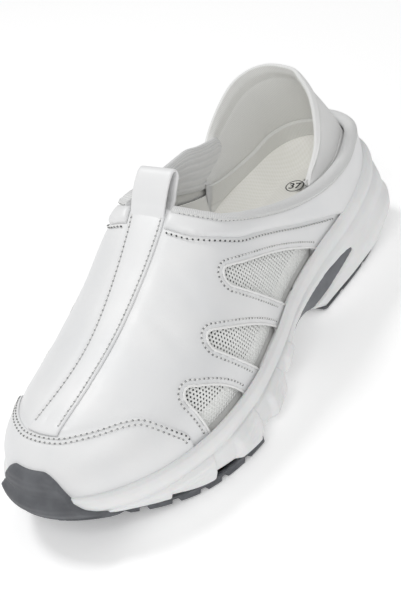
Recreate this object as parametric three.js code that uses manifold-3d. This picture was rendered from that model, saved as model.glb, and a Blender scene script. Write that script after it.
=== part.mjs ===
// A slip-on nursing shoe for the left foot: one hollow synthetic leather upper with three mesh windows in
// each side, a toe cap, a centre strip and a pull loop, a soft heel collar that stands up, and a sculpted
// foam midsole on two rubber outsole pads. Millimetres, +X to the toe, +Y to the outer side, +Z up.
import * as THREE from "three";
import { mergeVertices } from "three/addons/utils/BufferGeometryUtils.js";
import Module from "manifold-3d";

const wasm = await Module();
wasm.setup();

// Driving dimensions
const soleLength = 258; // length that the x columns below are shares of
const ballWidth = 88; // feather line across the ball, which the y columns are shares of
const instepHeight = 92; // floor to the top of the instep at the throat
const rimHeight = 44; // floor to the midsole's rim at the heel
const footbedHeight = 34; // floor to the midsole's footbed at the heel
const upperWall = 1.8; // synthetic leather with its lining
const overlayThickness = 1.2; // toe cap and centre strip
const bandThickness = 1.8; // puffed collar band and heel panel
const meshThickness = 0.8; // mesh behind the windows
const insoleThickness = 5; // insole on the footbed
const insoleCup = 9; // rise of the insole's edge at the heel
const cupWidth = 14; // width of the insole that the rise of its edge takes up
const collarThickness = 3.2; // soft heel collar with its lining
const collarTuck = 9; // depth of the heel collar inside the topline
const collarBow = 0.34; // how upright the heel collar starts, as a share of its height
const bindingThickness = 2.2; // knit binding folded over the topline
const bindingDepth = 4.6; // depth of the binding on the wall, under the edge
const loopThickness = 1.8; // pull loop
const loopLap = 8; // length of the pull loop's legs on the upper
const loopRise = 11; // top of the pull loop over the throat
const loopLean = 12; // top of the pull loop behind the throat
const throatX = 0.549 * soleLength; // edge of the upper at the throat
const outsoleThickness = 4.2; // rubber under the midsole
const tackDepth = 2.4; // grooves of the tread
const tackWidth = 3; // width of those grooves
const archHeight = 9; // rise of the midsole's underside at the arch
const toeSpring = 14; // rise of the sole at the toe's tip
const heelBevel = 3; // rise of the sole at the heel's back
const bumperHeight = 38; // floor to the top of the rubber toe bumper
const bumperThickness = 2.2; // rubber of the toe bumper
const rimLip = 2.6; // midsole's rim outside the feather line
const sideFlare = 9; // widest bulge of the midsole's side, outside the feather line
const bandHeight = 6.5; // upper band of the midsole's side
const bandStep = 1.1; // relief of that band over the groove below it
const lobeStep = 2.2; // relief of the slanted lobes at the ball
const plateInset = 1.2; // gray arch plate behind the midsole's side
const windowRadius = 4.7; // round end of each mesh window
const windowBulge = 2.6; // bow of a window's long upper edge
const gap = 0.35; // clearance between pieces that touch
const overlaySeat = 0.45; // the same for the overlays, whose facets bend with the upper's
const facetDip = 0.6; // how far a facet of the upper lies inside its true curve
const around = 56; // facets round the upper
const levels = 8; // facets of the upper from the feather line to the ridge
const soleAround = 44; // facets round the sole, before the close pairs at its steps

// The last, one row for each section from the heel's back round to the toe's tip.
// lx, mx: outer and inner feather point, shares of soleLength; ly, my: the same, of ballWidth.
// rx, ry: the ridge over the section, in the same shares; rz: its height, of instepHeight; sq: squareness.
const lastRows = [
  { lx: 0.016, ly: 0, mx: 0.016, my: 0, rx: 0.19, ry: 0, rz: 1.22, sq: 1.7 },
  { lx: 0.039, ly: 0.195, mx: 0.039, my: -0.184, rx: 0.194, ry: 0, rz: 1.22, sq: 1.75 },
  { lx: 0.101, ly: 0.306, mx: 0.101, my: -0.295, rx: 0.205, ry: 0, rz: 1.21, sq: 1.95 },
  { lx: 0.202, ly: 0.351, mx: 0.202, my: -0.334, rx: 0.245, ry: 0, rz: 1.19, sq: 2.25 },
  { lx: 0.326, ly: 0.356, mx: 0.326, my: -0.327, rx: 0.326, ry: 0, rz: 1.14, sq: 2.35 },
  { lx: 0.434, ly: 0.39, mx: 0.434, my: -0.37, rx: 0.434, ry: -0.006, rz: 1.08, sq: 2.25 },
  { lx: 0.543, ly: 0.468, mx: 0.543, my: -0.44, rx: 0.543, ry: -0.011, rz: 0.99, sq: 2.15 },
  { lx: 0.651, ly: 0.518, mx: 0.651, my: -0.475, rx: 0.651, ry: -0.011, rz: 0.825, sq: 2.15 },
  { lx: 0.76, ly: 0.507, mx: 0.76, my: -0.478, rx: 0.755, ry: -0.017, rz: 0.685, sq: 2.25 },
  { lx: 0.853, ly: 0.423, mx: 0.853, my: -0.432, rx: 0.83, ry: -0.028, rz: 0.6, sq: 2.4 },
  { lx: 0.922, ly: 0.284, mx: 0.922, my: -0.34, rx: 0.875, ry: -0.039, rz: 0.555, sq: 2.5 },
  { lx: 0.961, ly: 0.122, mx: 0.961, my: -0.206, rx: 0.893, ry: -0.05, rz: 0.535, sq: 2.5 },
  { lx: 0.974, ly: -0.05, mx: 0.974, my: -0.05, rx: 0.897, ry: -0.05, rz: 0.53, sq: 2.5 },
];

// The sole at the same sections. rim: its rim's height, of rimHeight; bed: the footbed's, of footbedHeight.
// foot: lower edge outside the feather line; flare: bulge over that; both of sideFlare.
const soleRows = [
  { rim: 1, bed: 1, foot: 0, flare: 0.9 },
  { rim: 0.995, bed: 1, foot: 0, flare: 0.95 },
  { rim: 0.96, bed: 0.985, foot: 0, flare: 0.8 },
  { rim: 0.89, bed: 0.955, foot: -0.05, flare: 0.42 },
  { rim: 0.81, bed: 0.9, foot: -0.05, flare: 0.22 },
  { rim: 0.74, bed: 0.795, foot: -0.1, flare: 0.2 },
  { rim: 0.67, bed: 0.66, foot: 0.15, flare: 0.25 },
  { rim: 0.61, bed: 0.545, foot: 0.45, flare: 0.25 },
  { rim: 0.585, bed: 0.5, foot: 0.15, flare: 0.25 },
  { rim: 0.58, bed: 0.515, foot: -0.4, flare: 0.25 },
  { rim: 0.59, bed: 0.56, foot: -0.65, flare: 0.22 },
  { rim: 0.6, bed: 0.59, foot: -0.7, flare: 0.2 },
  { rim: 0.61, bed: 0.6, foot: -0.7, flare: 0.2 },
];

// Profile of the midsole's side, lower edge to rim. low: share of the height under the groove;
// band: distance under the rim, of bandHeight; bulge: share of the flare; step: of bandStep;
// lobe: of lobeStep.
const sideRows = [
  { low: 0.0, band: 0, bulge: 0.1, step: -1.0, lobe: 0.4 },
  { low: 0.12, band: 0, bulge: 0.55, step: 0, lobe: 1.0 },
  { low: 0.36, band: 0, bulge: 1.0, step: 0, lobe: 1.0 },
  { low: 0.66, band: 0, bulge: 0.9, step: 0, lobe: 0.45 },
  { low: 0.88, band: 0, bulge: 0.6, step: -0.2, lobe: 0.0 },
  { low: 1.0, band: 1.35, bulge: 0.4, step: -1.0, lobe: 0.0 },
  { low: 1.0, band: 1.0, bulge: 0.35, step: 0.1, lobe: 0.0 },
  { low: 1.0, band: 0.55, bulge: 0.2, step: 1.0, lobe: 0.0 },
  { low: 1.0, band: 0.15, bulge: 0.05, step: 0.7, lobe: 0.0 },
  { low: 1.0, band: 0.0, bulge: 0.0, step: -0.2, lobe: 0.0 },
];

// Topline in side view, heel to throat. x of soleLength, z of instepHeight.
const toplineRows = [
  { x: -0.1, z: 0.69 }, { x: 0.02, z: 0.685 }, { x: 0.109, z: 0.668 }, { x: 0.153, z: 0.635 },
  { x: 0.202, z: 0.62 }, { x: 0.259, z: 0.627 }, { x: 0.323, z: 0.664 }, { x: 0.383, z: 0.723 },
  { x: 0.435, z: 0.787 }, { x: 0.478, z: 0.852 }, { x: 0.509, z: 0.905 }, { x: 0.528, z: 0.948 },
  { x: 0.54, z: 0.979 }, { x: 0.549, z: 1.01 }, { x: 0.556, z: 1.05 },
];

// Seam under the collar band in side view, from below the rim up to the throat, in the same shares.
const bandSeamRows = [
  { x: 0.15, z: 0.28 }, { x: 0.225, z: 0.418 }, { x: 0.283, z: 0.481 }, { x: 0.346, z: 0.56 },
  { x: 0.405, z: 0.646 }, { x: 0.459, z: 0.727 }, { x: 0.504, z: 0.798 }, { x: 0.536, z: 0.852 },
  { x: 0.559, z: 0.89 }, { x: 0.572, z: 0.92 }, { x: 0.58, z: 1.0 },
];

// Toe cap's edge in plan, outer side to inner side. x of soleLength, y of ballWidth.
const capRows = [
  { x: 0.782, y: 0.62 }, { x: 0.802, y: 0.5 }, { x: 0.823, y: 0.452 }, { x: 0.836, y: 0.409 },
  { x: 0.851, y: 0.342 }, { x: 0.872, y: 0.278 }, { x: 0.893, y: 0.213 }, { x: 0.91, y: 0.14 },
  { x: 0.92, y: 0.061 }, { x: 0.924, y: -0.03 }, { x: 0.922, y: -0.12 }, { x: 0.912, y: -0.19 },
  { x: 0.893, y: -0.265 }, { x: 0.868, y: -0.33 }, { x: 0.842, y: -0.39 }, { x: 0.822, y: -0.45 },
  { x: 0.808, y: -0.53 }, { x: 0.8, y: -0.64 },
];

// Centre strip in plan. x of soleLength; y and w: its centre and width, of ballWidth.
const stripRows = [
  { x: 0.535, y: -0.058, w: 0.216 }, { x: 0.585, y: -0.031, w: 0.204 }, { x: 0.647, y: -0.012, w: 0.184 },
  { x: 0.7, y: 0.003, w: 0.166 }, { x: 0.75, y: 0.01, w: 0.152 }, { x: 0.8, y: 0.005, w: 0.146 },
  { x: 0.86, y: -0.016, w: 0.156 }, { x: 0.93, y: -0.05, w: 0.176 },
];

// Mesh windows in side view. noseX, noseZ: centre of the round end; rearX, frontX: its two ends at the rim.
const windowRows = [
  { name: "rear", noseX: 0.565, noseZ: 0.709, rearX: 0.3, frontX: 0.455 },
  { name: "middle", noseX: 0.665, noseZ: 0.565, rearX: 0.505, frontX: 0.607 },
  { name: "front", noseX: 0.757, noseZ: 0.455, rearX: 0.66, frontX: 0.763 },
];

// Upper edge of the mesh panel, which covers the three windows, in the same shares.
const panelRows = [
  { x: 0.26, z: 0 }, { x: 0.26, z: 0.52 }, { x: 0.38, z: 0.62 }, { x: 0.48, z: 0.74 }, { x: 0.565, z: 0.815 },
  { x: 0.61, z: 0.77 }, { x: 0.66, z: 0.67 }, { x: 0.71, z: 0.62 }, { x: 0.76, z: 0.55 },
  { x: 0.8, z: 0.48 }, { x: 0.81, z: 0 },
];

// Top edge of the heel collar from its back to its front ends, on the outer side (o) and the inner side (i).
// x of soleLength, y of ballWidth, z of instepHeight.
const collarRows = [
  { ox: 0.099, oy: 0, oz: 1.055, ix: 0.099, iy: 0, iz: 1.055 },
  { ox: 0.11, oy: 0.068, oz: 1.025, ix: 0.102, iy: -0.142, iz: 1.072 },
  { ox: 0.124, oy: 0.136, oz: 0.952, ix: 0.134, iy: -0.23, iz: 1.068 },
  { ox: 0.149, oy: 0.188, oz: 0.855, ix: 0.18, iy: -0.28, iz: 1.022 },
  { ox: 0.186, oy: 0.228, oz: 0.742, ix: 0.242, iy: -0.306, iz: 0.872 },
  { ox: 0.25, oy: 0.262, oz: 0.66, ix: 0.302, iy: -0.265, iz: 0.715 },
];
const collarEnds = { outer: 3.5, inner: 3.9 }; // rows of the last at which the heel collar ends

// Gray arch plate in side view, from its rear tip over the top. x of soleLength, z of rimHeight.
const plateRows = [
  { x: 0.222, z: 0.385 }, { x: 0.222, z: 0.44 }, { x: 0.24, z: 0.485 }, { x: 0.275, z: 0.51 },
  { x: 0.335, z: 0.505 }, { x: 0.378, z: 0.49 }, { x: 0.408, z: 0.445 }, { x: 0.432, z: 0.3 },
  { x: 0.44, z: 0.2 }, { x: 0.335, z: 0.1 }, { x: 0.328, z: 0.23 }, { x: 0.278, z: 0.26 }, { x: 0.245, z: 0.31 },
];

// Steps of the midsole's lower edge and grooves of the tread, as shares of soleLength.
const lobeStarts = [0.855, 0.775, 0.682, 0.574, 0.48];
const frontGrooves = [0.895, 0.848, 0.803, 0.765, 0.715];
const heelGrooves = [0.07, 0.168, 0.26];
const frontPad = { edge: 0.67, middle: 0.6, toe: 1.05 }; // rear edge of the front pad, and past the toe
const heelPad = { back: -0.05, front: 0.298 };

// Toe bumper in front view, middle to side. y: distance from the toe's tip, of ballWidth; z of bumperHeight.
const bumperRows = [
  { y: 0.088, z: 1 }, { y: 0.115, z: 0.972 }, { y: 0.137, z: 0.926 }, { y: 0.156, z: 0.855 },
  { y: 0.185, z: 0.7 }, { y: 0.23, z: 0.58 }, { y: 0.31, z: 0.42 }, { y: 0.4, z: 0.11 },
];

// Insole's edge, under side to top. inset: from the footbed's wall, of cupWidth; flat: of insoleThickness;
// cup: of the insole's edge at that place over that.
const insoleRows = [
  { inset: 0.03, flat: 0, cup: 0 }, { inset: 0, flat: 0.3, cup: 0 }, { inset: 0, flat: 0.88, cup: 0.96 },
  { inset: 0.085, flat: 1, cup: 1 }, { inset: 0.5, flat: 1, cup: 0.25 }, { inset: 1, flat: 1, cup: 0 },
];

// Flat parts of the underside that stand on the floor, as shares of soleLength.
const flatSpots = { heelFrom: 0.055, heelTo: 0.315, frontFrom: 0.625, frontTo: 0.79 };

const rowsPerSide = lastRows.length - 1;
const loopRows = rowsPerSide * 2;

const lerp = (a, b, t) => a + (b - a) * t;
const clamp = (value, low, high) => Math.min(Math.max(value, low), high);

// Catmull-Rom value between b and c.
function spline(a, b, c, d, t) {
  return 0.5 * (2 * b + (c - a) * t + (2 * a - 5 * b + 4 * c - d) * t * t + (3 * b - a - 3 * c + d) * t ** 3);
}

// Row number k of the closed loop: outer side up to the toe, inner side back to the heel.
function loopRow(k) {
  const n = ((k % loopRows) + loopRows) % loopRows;
  const outer = n <= rowsPerSide;
  const section = outer ? n : loopRows - n;
  const row = { ...lastRows[section], ...soleRows[section] };
  return outer ? { ...row, x: row.lx, y: row.ly } : { ...row, x: row.mx, y: row.my };
}

// Value of one named column at loop parameter u, in rows.
function column(name, u) {
  const k = Math.floor(u);
  const [a, b, c, d] = [k - 1, k, k + 1, k + 2].map((n) => loopRow(n)[name]);
  return spline(a, b, c, d, u - k);
}

// Value of one column of an open table at a key, where the table's key column rises.
function tableAt(rows, key, name, value) {
  let k = 0;
  while (k < rows.length - 2 && rows[k + 1][key] < value) k++;
  const t = clamp((value - rows[k][key]) / (rows[k + 1][key] - rows[k][key]), 0, 1);
  const pick = (n) => rows[clamp(n, 0, rows.length - 1)][name];
  return spline(pick(k - 1), pick(k), pick(k + 1), pick(k + 2), t);
}

const rimAt = (u) => column("rim", u) * rimHeight;
const bedAt = (u) => column("bed", u) * footbedHeight;
const featherAt = (u) => new THREE.Vector3(column("x", u) * soleLength, column("y", u) * ballWidth, rimAt(u));
function ridgeAt(u) {
  const [x, y, z] = ["rx", "ry", "rz"].map((name) => column(name, u));
  return new THREE.Vector3(x * soleLength, y * ballWidth, z * instepHeight);
}

const toplineAt = (x) => tableAt(toplineRows, "x", "z", x / soleLength) * instepHeight;

// Outward direction of the feather line in plan.
function outwardAt(u) {
  const step = 0.02;
  const run = featherAt(u + step).sub(featherAt(u - step));
  return new THREE.Vector3(-run.y, run.x, 0).normalize();
}

// Slope of the ridge line, which carries it smoothly over the toe.
const ridgeSlope = -0.32;

// Point of the last's surface: v 0 at the feather line, 1 on the ridge, below 0 straight down.
function lastPoint(u, v) {
  if (v > 1) return lastPoint(loopRows - u, 2 - v);
  const foot = featherAt(u);
  const top = ridgeAt(u);
  const power = 2 / column("sq", u);
  const angle = (Math.max(v, 0) * Math.PI) / 2;
  const spread = Math.pow(Math.max(Math.cos(angle), 0), power);
  const rise = Math.pow(Math.sin(angle), power);
  const fall = ridgeSlope * Math.max(foot.x - top.x, 0);
  const point = top.clone().lerp(foot, spread);
  point.z = top.z + fall * spread - (top.z + fall - foot.z) * (1 - rise);
  if (v < 0) point.z = foot.z + v * instepHeight;
  return point;
}

function lastNormal(u, v) {
  const step = 0.01;
  const along = lastPoint(u + step, v).sub(lastPoint(u - step, v));
  const up = lastPoint(u, v + step).sub(lastPoint(u, v - step));
  return up.cross(along).normalize();
}

const surfacePoint = (u, v, offset) => lastPoint(u, v).addScaledVector(lastNormal(u, v), offset);

// Loop parameters round the last, the same on both sides.
const stations = Array.from({ length: around }, (_, k) => (k * loopRows) / around);

// A closed solid from positions and triangles, with its faces turned out.
function solidFrom(points, triangles) {
  const soup = new Float32Array(triangles.length * 9);
  triangles.forEach((triangle, t) => triangle.forEach((n, c) => points[n].toArray(soup, t * 9 + c * 3)));
  const geometry = new THREE.BufferGeometry();
  geometry.setAttribute("position", new THREE.BufferAttribute(soup, 3));
  return solidOf(geometry);
}

// A closed solid from any closed geometry, as the boolean library takes it.
function solidOf(geometry) {
  geometry.deleteAttribute("normal");
  geometry.deleteAttribute("uv");
  const merged = mergeVertices(geometry, 1e-4);
  const position = merged.attributes.position;
  const index = merged.index.array;
  const kept = [];
  let volume = 0;
  const [a, b, c] = [new THREE.Vector3(), new THREE.Vector3(), new THREE.Vector3()];
  for (let t = 0; t < index.length; t += 3) {
    const corners = [index[t], index[t + 1], index[t + 2]];
    if (new Set(corners).size < 3) continue;
    kept.push(corners);
    [a, b, c].forEach((corner, n) => corner.fromBufferAttribute(position, corners[n]));
    volume += a.dot(b.cross(c));
  }
  if (volume < 0) kept.forEach((corners) => corners.reverse());
  const vertProperties = new Float32Array(position.array);
  const triVerts = new Uint32Array(kept.flat());
  return new wasm.Manifold(new wasm.Mesh({ numProp: 3, vertProperties, triVerts }));
}

// A solid swept through loops of equal length. Open ends are closed by a ladder from point i to point n - i.
function sweep(loops, closed = false) {
  const count = loops[0].length;
  const points = loops.flat();
  const triangles = [];
  const last = closed ? loops.length : loops.length - 1;
  for (let r = 0; r < last; r++) {
    const below = r * count;
    const above = ((r + 1) % loops.length) * count;
    for (let k = 0; k < count; k++) {
      const next = (k + 1) % count;
      triangles.push([below + k, above + k, above + next], [below + k, above + next, below + next]);
    }
  }
  const ladder = (start, flip) => {
    for (let i = 0; i < count / 2; i++) {
      const [a, b, c, d] = [i, i + 1, count - i - 1, (count - i) % count].map((n) => start + n);
      triangles.push(...(flip ? [[a, c, b], [a, d, c]] : [[a, b, c], [a, c, d]]));
    }
  };
  if (!closed) {
    ladder(0, false);
    ladder((loops.length - 1) * count, true);
  }
  return solidFrom(points, triangles);
}

// The space inside the last's surface grown by an offset, from below the footbed up to the ridge.
function form(offset, drop = 0) {
  const ring = (place) => stations.map(place);
  const skirt = ring((u) => surfacePoint(u, 0, offset).setZ(bedAt(u) + gap - drop));
  const rings = [skirt];
  for (let n = 0; n < levels; n++) rings.push(ring((u) => surfacePoint(u, n / levels, offset)));
  const ridge = ring((u) => surfacePoint(Math.min(u, loopRows - u), 1, offset));
  return sweep([...rings, ridge]);
}

// A prism of a closed outline: "side" outlines hold x and z and run across the shoe, "plan" ones x and y.
function prism(outline, view, from, to) {
  const shape = new THREE.Shape(outline.map(([a, b]) => new THREE.Vector2(a, b)));
  const geometry = new THREE.ExtrudeGeometry(shape, { depth: to - from, bevelEnabled: false });
  geometry.translate(0, 0, view === "side" ? -to : from);
  if (view === "side") geometry.rotateX(Math.PI / 2);
  return solidOf(geometry);
}

// A smooth open curve through rows of two named columns, in millimetres.
function curve(rows, [first, firstSize], [second, secondSize], pieces) {
  const points = rows.map((row) => new THREE.Vector3(row[first] * firstSize, row[second] * secondSize, 0));
  return new THREE.CatmullRomCurve3(points).getPoints(pieces).map((point) => [point.x, point.y]);
}

const far = soleLength; // far enough to pass through the whole shoe
const sideCurve = (rows, pieces) => curve(rows, ["x", soleLength], ["z", instepHeight], pieces);
const planCurve = (rows, pieces) => curve(rows, ["x", soleLength], ["y", ballWidth], pieces);

// Everything over the topline, moved out from the wall by a clearance.
function openingPrism(raise) {
  const edge = moved(sideCurve(toplineRows, 26), raise);
  const top = edge.at(-1);
  return prism([...edge, [top[0], far], [edge[0][0] - 1, far]], "side", -far, far);
}

// An open line moved to its left by a distance.
function moved(line, distance) {
  return line.map(([x, y], n) => {
    const [fromX, fromY] = line[Math.max(n - 1, 0)];
    const [toX, toY] = line[Math.min(n + 1, line.length - 1)];
    const length = Math.hypot(toX - fromX, toY - fromY);
    return [x - ((toY - fromY) / length) * distance, y + ((toX - fromX) / length) * distance];
  });
}

// Outline of one mesh window in side view: a round end with two edges that run down behind the rim.
function windowOutline(row) {
  const nose = new THREE.Vector2(row.noseX * soleLength, row.noseZ * instepHeight);
  const hidden = 3;
  const ends = [row.rearX, row.frontX].map((share) => {
    const x = share * soleLength;
    const u = xStation(x);
    return new THREE.Vector2(x, rimAt(u) - hidden);
  });
  const tangent = (end, side) => {
    const away = end.clone().sub(nose);
    const turn = Math.acos(windowRadius / away.length());
    return away.angle() + side * turn;
  };
  let start = tangent(ends[0], -1);
  let stop = tangent(ends[1], 1);
  if (stop > start) stop -= Math.PI * 2;
  const arc = Array.from({ length: 9 }, (_, n) => {
    const angle = lerp(start, stop, n / 8);
    return [nose.x + windowRadius * Math.cos(angle), nose.y + windowRadius * Math.sin(angle)];
  });
  const first = new THREE.Vector2(...arc[0]);
  const long = first.clone().sub(ends[0]);
  const bow = new THREE.Vector2(-long.y, long.x).normalize();
  const bowed = [0.25, 0.5, 0.75].map((t) => {
    const point = ends[0].clone().lerp(first, t).addScaledVector(bow, windowBulge * 4 * t * (1 - t));
    return [point.x, point.y];
  });
  return [[ends[0].x, ends[0].y], ...bowed, ...arc, [ends[1].x, ends[1].y]];
}

// Loop parameter on the outer side at which the feather line is at x.
function xStation(x) {
  let [low, high] = [0, rowsPerSide];
  for (let n = 0; n < 40; n++) {
    const middle = (low + high) / 2;
    if (column("x", middle) * soleLength < x) low = middle;
    else high = middle;
  }
  return low;
}

// Everything under the midsole's rim, raised by a clearance.
function rimBlock(raise) {
  const ring = (out, height) =>
    soleStations.map((u) => featherAt(u).addScaledVector(outwardAt(u), out).setZ(height(u)));
  const top = (u) => rimAt(u) + raise;
  return sweep([ring(rimLip * 2, () => -far), ring(rimLip * 2, top), ring(-upperWall * 2, top)]);
}

// A layer of the upper's own surface inside a region, down to the midsole's rim.
function overlay(thickness, region) {
  const layer = form(overlaySeat + thickness).subtract(form(overlaySeat, rimHeight));
  return layer.intersect(region).subtract(rimBlock(gap));
}

// Plan outline of the centre strip, with its sides moved out by a margin.
function stripOutline(from, to, margin) {
  const edge = (side) =>
    Array.from({ length: 13 }, (_, n) => {
      const x = lerp(from, to, n / 12);
      const share = x / soleLength;
      const middle = tableAt(stripRows, "x", "y", share) * ballWidth;
      const width = tableAt(stripRows, "x", "w", share) * ballWidth;
      return [x, middle + side * (width / 2 + margin)];
    });
  return [...edge(-1), ...edge(1).reverse()];
}

// Plan outline of the toe cap's side of its edge, moved back by a margin.
function capOutline(margin) {
  const edge = planCurve(capRows, 20).map(([x, y]) => [x - margin, y]);
  return [...edge, [far * 1.2, edge.at(-1)[1]], [far * 1.2, edge[0][1]]];
}

// Height of the ridge at x.
const ridgeHeight = (x) => tableAt(lastRows, "rx", "rz", x / soleLength) * instepHeight;

function upper() {
  const shell = form(0).subtract(form(-upperWall, gap + 5));
  const windows = windowRows.map((row) => prism(windowOutline(row), "side", -far, far));
  return windows.reduce((solid, window) => solid.subtract(window), shell.subtract(openingPrism(0)));
}

function toeCap() {
  return overlay(overlayThickness, prism(capOutline(0), "plan", 0, far));
}

function vampStrip() {
  const from = throatX + loopLap + gap;
  const region = prism(stripOutline(from, far * 0.95, 0), "plan", rimHeight, far);
  return overlay(overlayThickness, region).subtract(prism(capOutline(gap), "plan", 0, far));
}

function collarBand() {
  const seam = sideCurve(bandSeamRows, 20);
  const behind = [[-far, -far], [seam[0][0], -far], ...seam, [seam.at(-1)[0], far], [-far, far]];
  const strip = prism(stripOutline(throatX - far * 0.1, far * 0.95, 3 * gap), "plan", 0, far);
  const band = overlay(bandThickness, prism(behind, "side", -far, far));
  return band.subtract(openingPrism(-bindingDepth - gap)).subtract(strip).subtract(loopSolid(gap));
}

// Mesh behind the windows of one side: 1 for the outer side, -1 for the inner one.
function meshPanel(side) {
  const outside = upperWall + gap;
  const shell = form(-outside).subtract(form(-outside - meshThickness, gap + 5));
  const edge = panelRows.map((row) => [row.x * soleLength, row.z * instepHeight]);
  const [from, to] = side > 0 ? [0, far] : [-far, 0];
  return shell.intersect(prism(edge, "side", from, to));
}

// Path of the topline on the last, from the heel round the outer side to the throat and back.
function toplinePath() {
  let [low, high] = [4, 7];
  for (let n = 0; n < 40; n++) {
    const middle = (low + high) / 2;
    const top = lastPoint(middle, 1);
    if (top.z > toplineAt(top.x)) low = middle;
    else high = middle;
  }
  const nearThroat = [0.75, 0.45, 0.25, 0.12, 0.04, 0].map((back) => low - back);
  const places = [...stations.filter((u) => u < nearThroat[0] - 0.1), ...nearThroat];
  const outer = places.map((u) => ({ u, v: toplineLevel(u, 0) }));
  const inner = outer.slice(1, -1).reverse().map(({ u, v }) => ({ u: loopRows - u, v }));
  return [...outer, ...inner];
}

// Level v at which the last at u is a drop under the topline.
function toplineLevel(u, drop) {
  let [low, high] = [0, 1];
  for (let n = 0; n < 40; n++) {
    const middle = (low + high) / 2;
    const point = lastPoint(u, middle);
    if (point.z < toplineAt(point.x) - drop) low = middle;
    else high = middle;
  }
  return low;
}

// Knit tape folded over the topline, as a section of two legs and a round top swept along it.
function toplineBinding() {
  const path = toplinePath();
  const [outer, inner] = [gap, -upperWall - gap - facetDip];
  const [outside, inside] = [outer + bindingThickness, inner - bindingThickness / 2];
  const section = [
    [outer, -bindingDepth], [outside - 0.4, -bindingDepth], [outside, -bindingDepth * 0.45],
    [outside - 0.7, 0.9], [(outer + inner) / 2, bindingThickness], [inside + 0.4, 0.9],
    [inside, -bindingDepth * 0.6], [inner, -bindingDepth * 0.6],
    [inner, facetDip + 2 * gap], [outer, facetDip + 2 * gap],
  ];
  const places = path.map(({ u, v }) => lastPoint(u, v));
  const loops = places.map((place, n) => {
    const run = places[(n + 1) % places.length].clone().sub(places.at(n - 1)).normalize();
    const across = lastNormal(path[n].u, path[n].v);
    across.addScaledVector(run, -across.dot(run)).normalize();
    const up = run.clone().cross(across);
    return section.map(([out, rise]) => place.clone().addScaledVector(across, out).addScaledVector(up, rise));
  });
  const underLoop = prism(stripOutline(throatX - far * 0.1, throatX + far * 0.1, 2 * gap), "plan", 0, far);
  return sweep(loops, true).subtract(underLoop);
}

// Centre surface of the heel collar: t -1 at its inner end, 1 at its outer one; s 0 at its hidden lower edge,
// 1 at the rolled top edge.
const collarRow = (t) => (t > 0 ? t * collarEnds.outer : -t * collarEnds.inner);

function collarPoint(t, s) {
  const inside = -(upperWall + facetDip * 2 + bindingThickness / 2 + 2 * gap + collarThickness / 2);
  const row = collarRow(t);
  const u = t > 0 ? row : (loopRows - row) % loopRows;
  const place = (v) => surfacePoint(u, v, inside);
  const foot = place(toplineLevel(row, collarTuck));
  const seam = place(toplineLevel(row, 0));
  const count = collarRows.length - 1;
  const value = (name, n) => {
    const outer = n >= 0;
    const entry = collarRows[Math.min(Math.abs(n), count)];
    return entry[(outer ? "o" : "i") + name];
  };
  const key = clamp(t, -1, 1) * count;
  const k = Math.min(Math.floor(key), count - 1);
  const pick = (name) => spline(...[k - 1, k, k + 1, k + 2].map((n) => value(name, n)), key - k);
  const top = new THREE.Vector3(pick("x") * soleLength, pick("y") * ballWidth, pick("z") * instepHeight);
  const seamShare = 0.3;
  if (s < seamShare) return foot.lerp(seam, s / seamShare);
  const rise = (s - seamShare) / (1 - seamShare);
  const handle = seam.clone().sub(foot).setLength(seam.distanceTo(top) * collarBow).add(seam);
  const a = seam.lerp(handle, rise);
  return a.lerp(handle.lerp(top, rise), rise);
}

function heelCollar() {
  const across = 24;
  const up = [0, 0.15, 0.3, 0.42, 0.56, 0.7, 0.85, 1];
  const loops = Array.from({ length: across + 1 }, (_, n) => {
    const t = lerp(-1, 1, n / across);
    const row = collarRow(t);
    const normal = lastNormal(t > 0 ? row : loopRows - row, toplineLevel(row, 0));
    const half = collarThickness / 2;
    const face = (side) => up.map((s) => collarPoint(t, s).addScaledVector(normal, side * half));
    const rise = collarPoint(t, 1).sub(collarPoint(t, 0.95)).setLength(collarThickness / 2);
    const topEdge = collarPoint(t, 1).add(rise);
    return [collarPoint(t, 0), ...face(1), topEdge, ...face(-1).reverse()];
  });
  return sweep(loops);
}

// Side profile of the free part of the pull loop: up off the strip, over the throat and down inside.
function loopProfile(outer, inner) {
  const top = ridgeHeight(throatX);
  const centre = [
    [3, -3.5], [0.5, 0], [-2.5, 3.4], [-7, loopRise * 0.75], [-loopLean, loopRise],
    [-loopLean - 4, loopRise * 0.68], [-loopLean - 2.5, loopRise * 0.22], [-loopLean * 0.8, -0.8],
    [-4.5, -2.2],
  ];
  const spine = new THREE.CatmullRomCurve3(centre.map(([x, z]) => new THREE.Vector3(x, z, 0))).getPoints(22);
  const side = (distance) =>
    spine.map((point, n) => {
      const run = spine[Math.min(n + 1, spine.length - 1)].clone().sub(spine[Math.max(n - 1, 0)]).normalize();
      return [throatX + point.x - run.y * distance, top + point.y + run.x * distance];
    });
  return [...side(outer), ...side(inner).reverse()];
}

// The pull loop grown by a clearance: two legs on and under the vamp, and the free part between them.
function loopSolid(grow) {
  const share = throatX / soleLength;
  const middle = tableAt(stripRows, "x", "y", share) * ballWidth;
  const wide = (tableAt(stripRows, "x", "w", share) * ballWidth) / 2 + grow;
  const half = loopThickness / 2 + grow;
  const free = prism(loopProfile(-half, half), "side", middle - wide, middle + wide);
  const inside = -upperWall - gap;
  const region = (from) => prism(stripOutline(from, throatX + loopLap + grow, grow), "plan", rimHeight, far);
  const layer = (top, bottom) => form(top + grow).subtract(form(bottom - grow, rimHeight));
  const leg = (top, bottom, from) => layer(top, bottom).intersect(region(from));
  const over = leg(gap + loopThickness, gap, throatX - 1);
  const under = leg(inside, inside - loopThickness, throatX - loopLean / 2);
  return free.add(over).add(under);
}

function pullLoop() {
  const wall = form(gap).subtract(form(-upperWall - gap, rimHeight)).subtract(openingPrism(gap));
  return loopSolid(0).subtract(wall);
}

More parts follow.
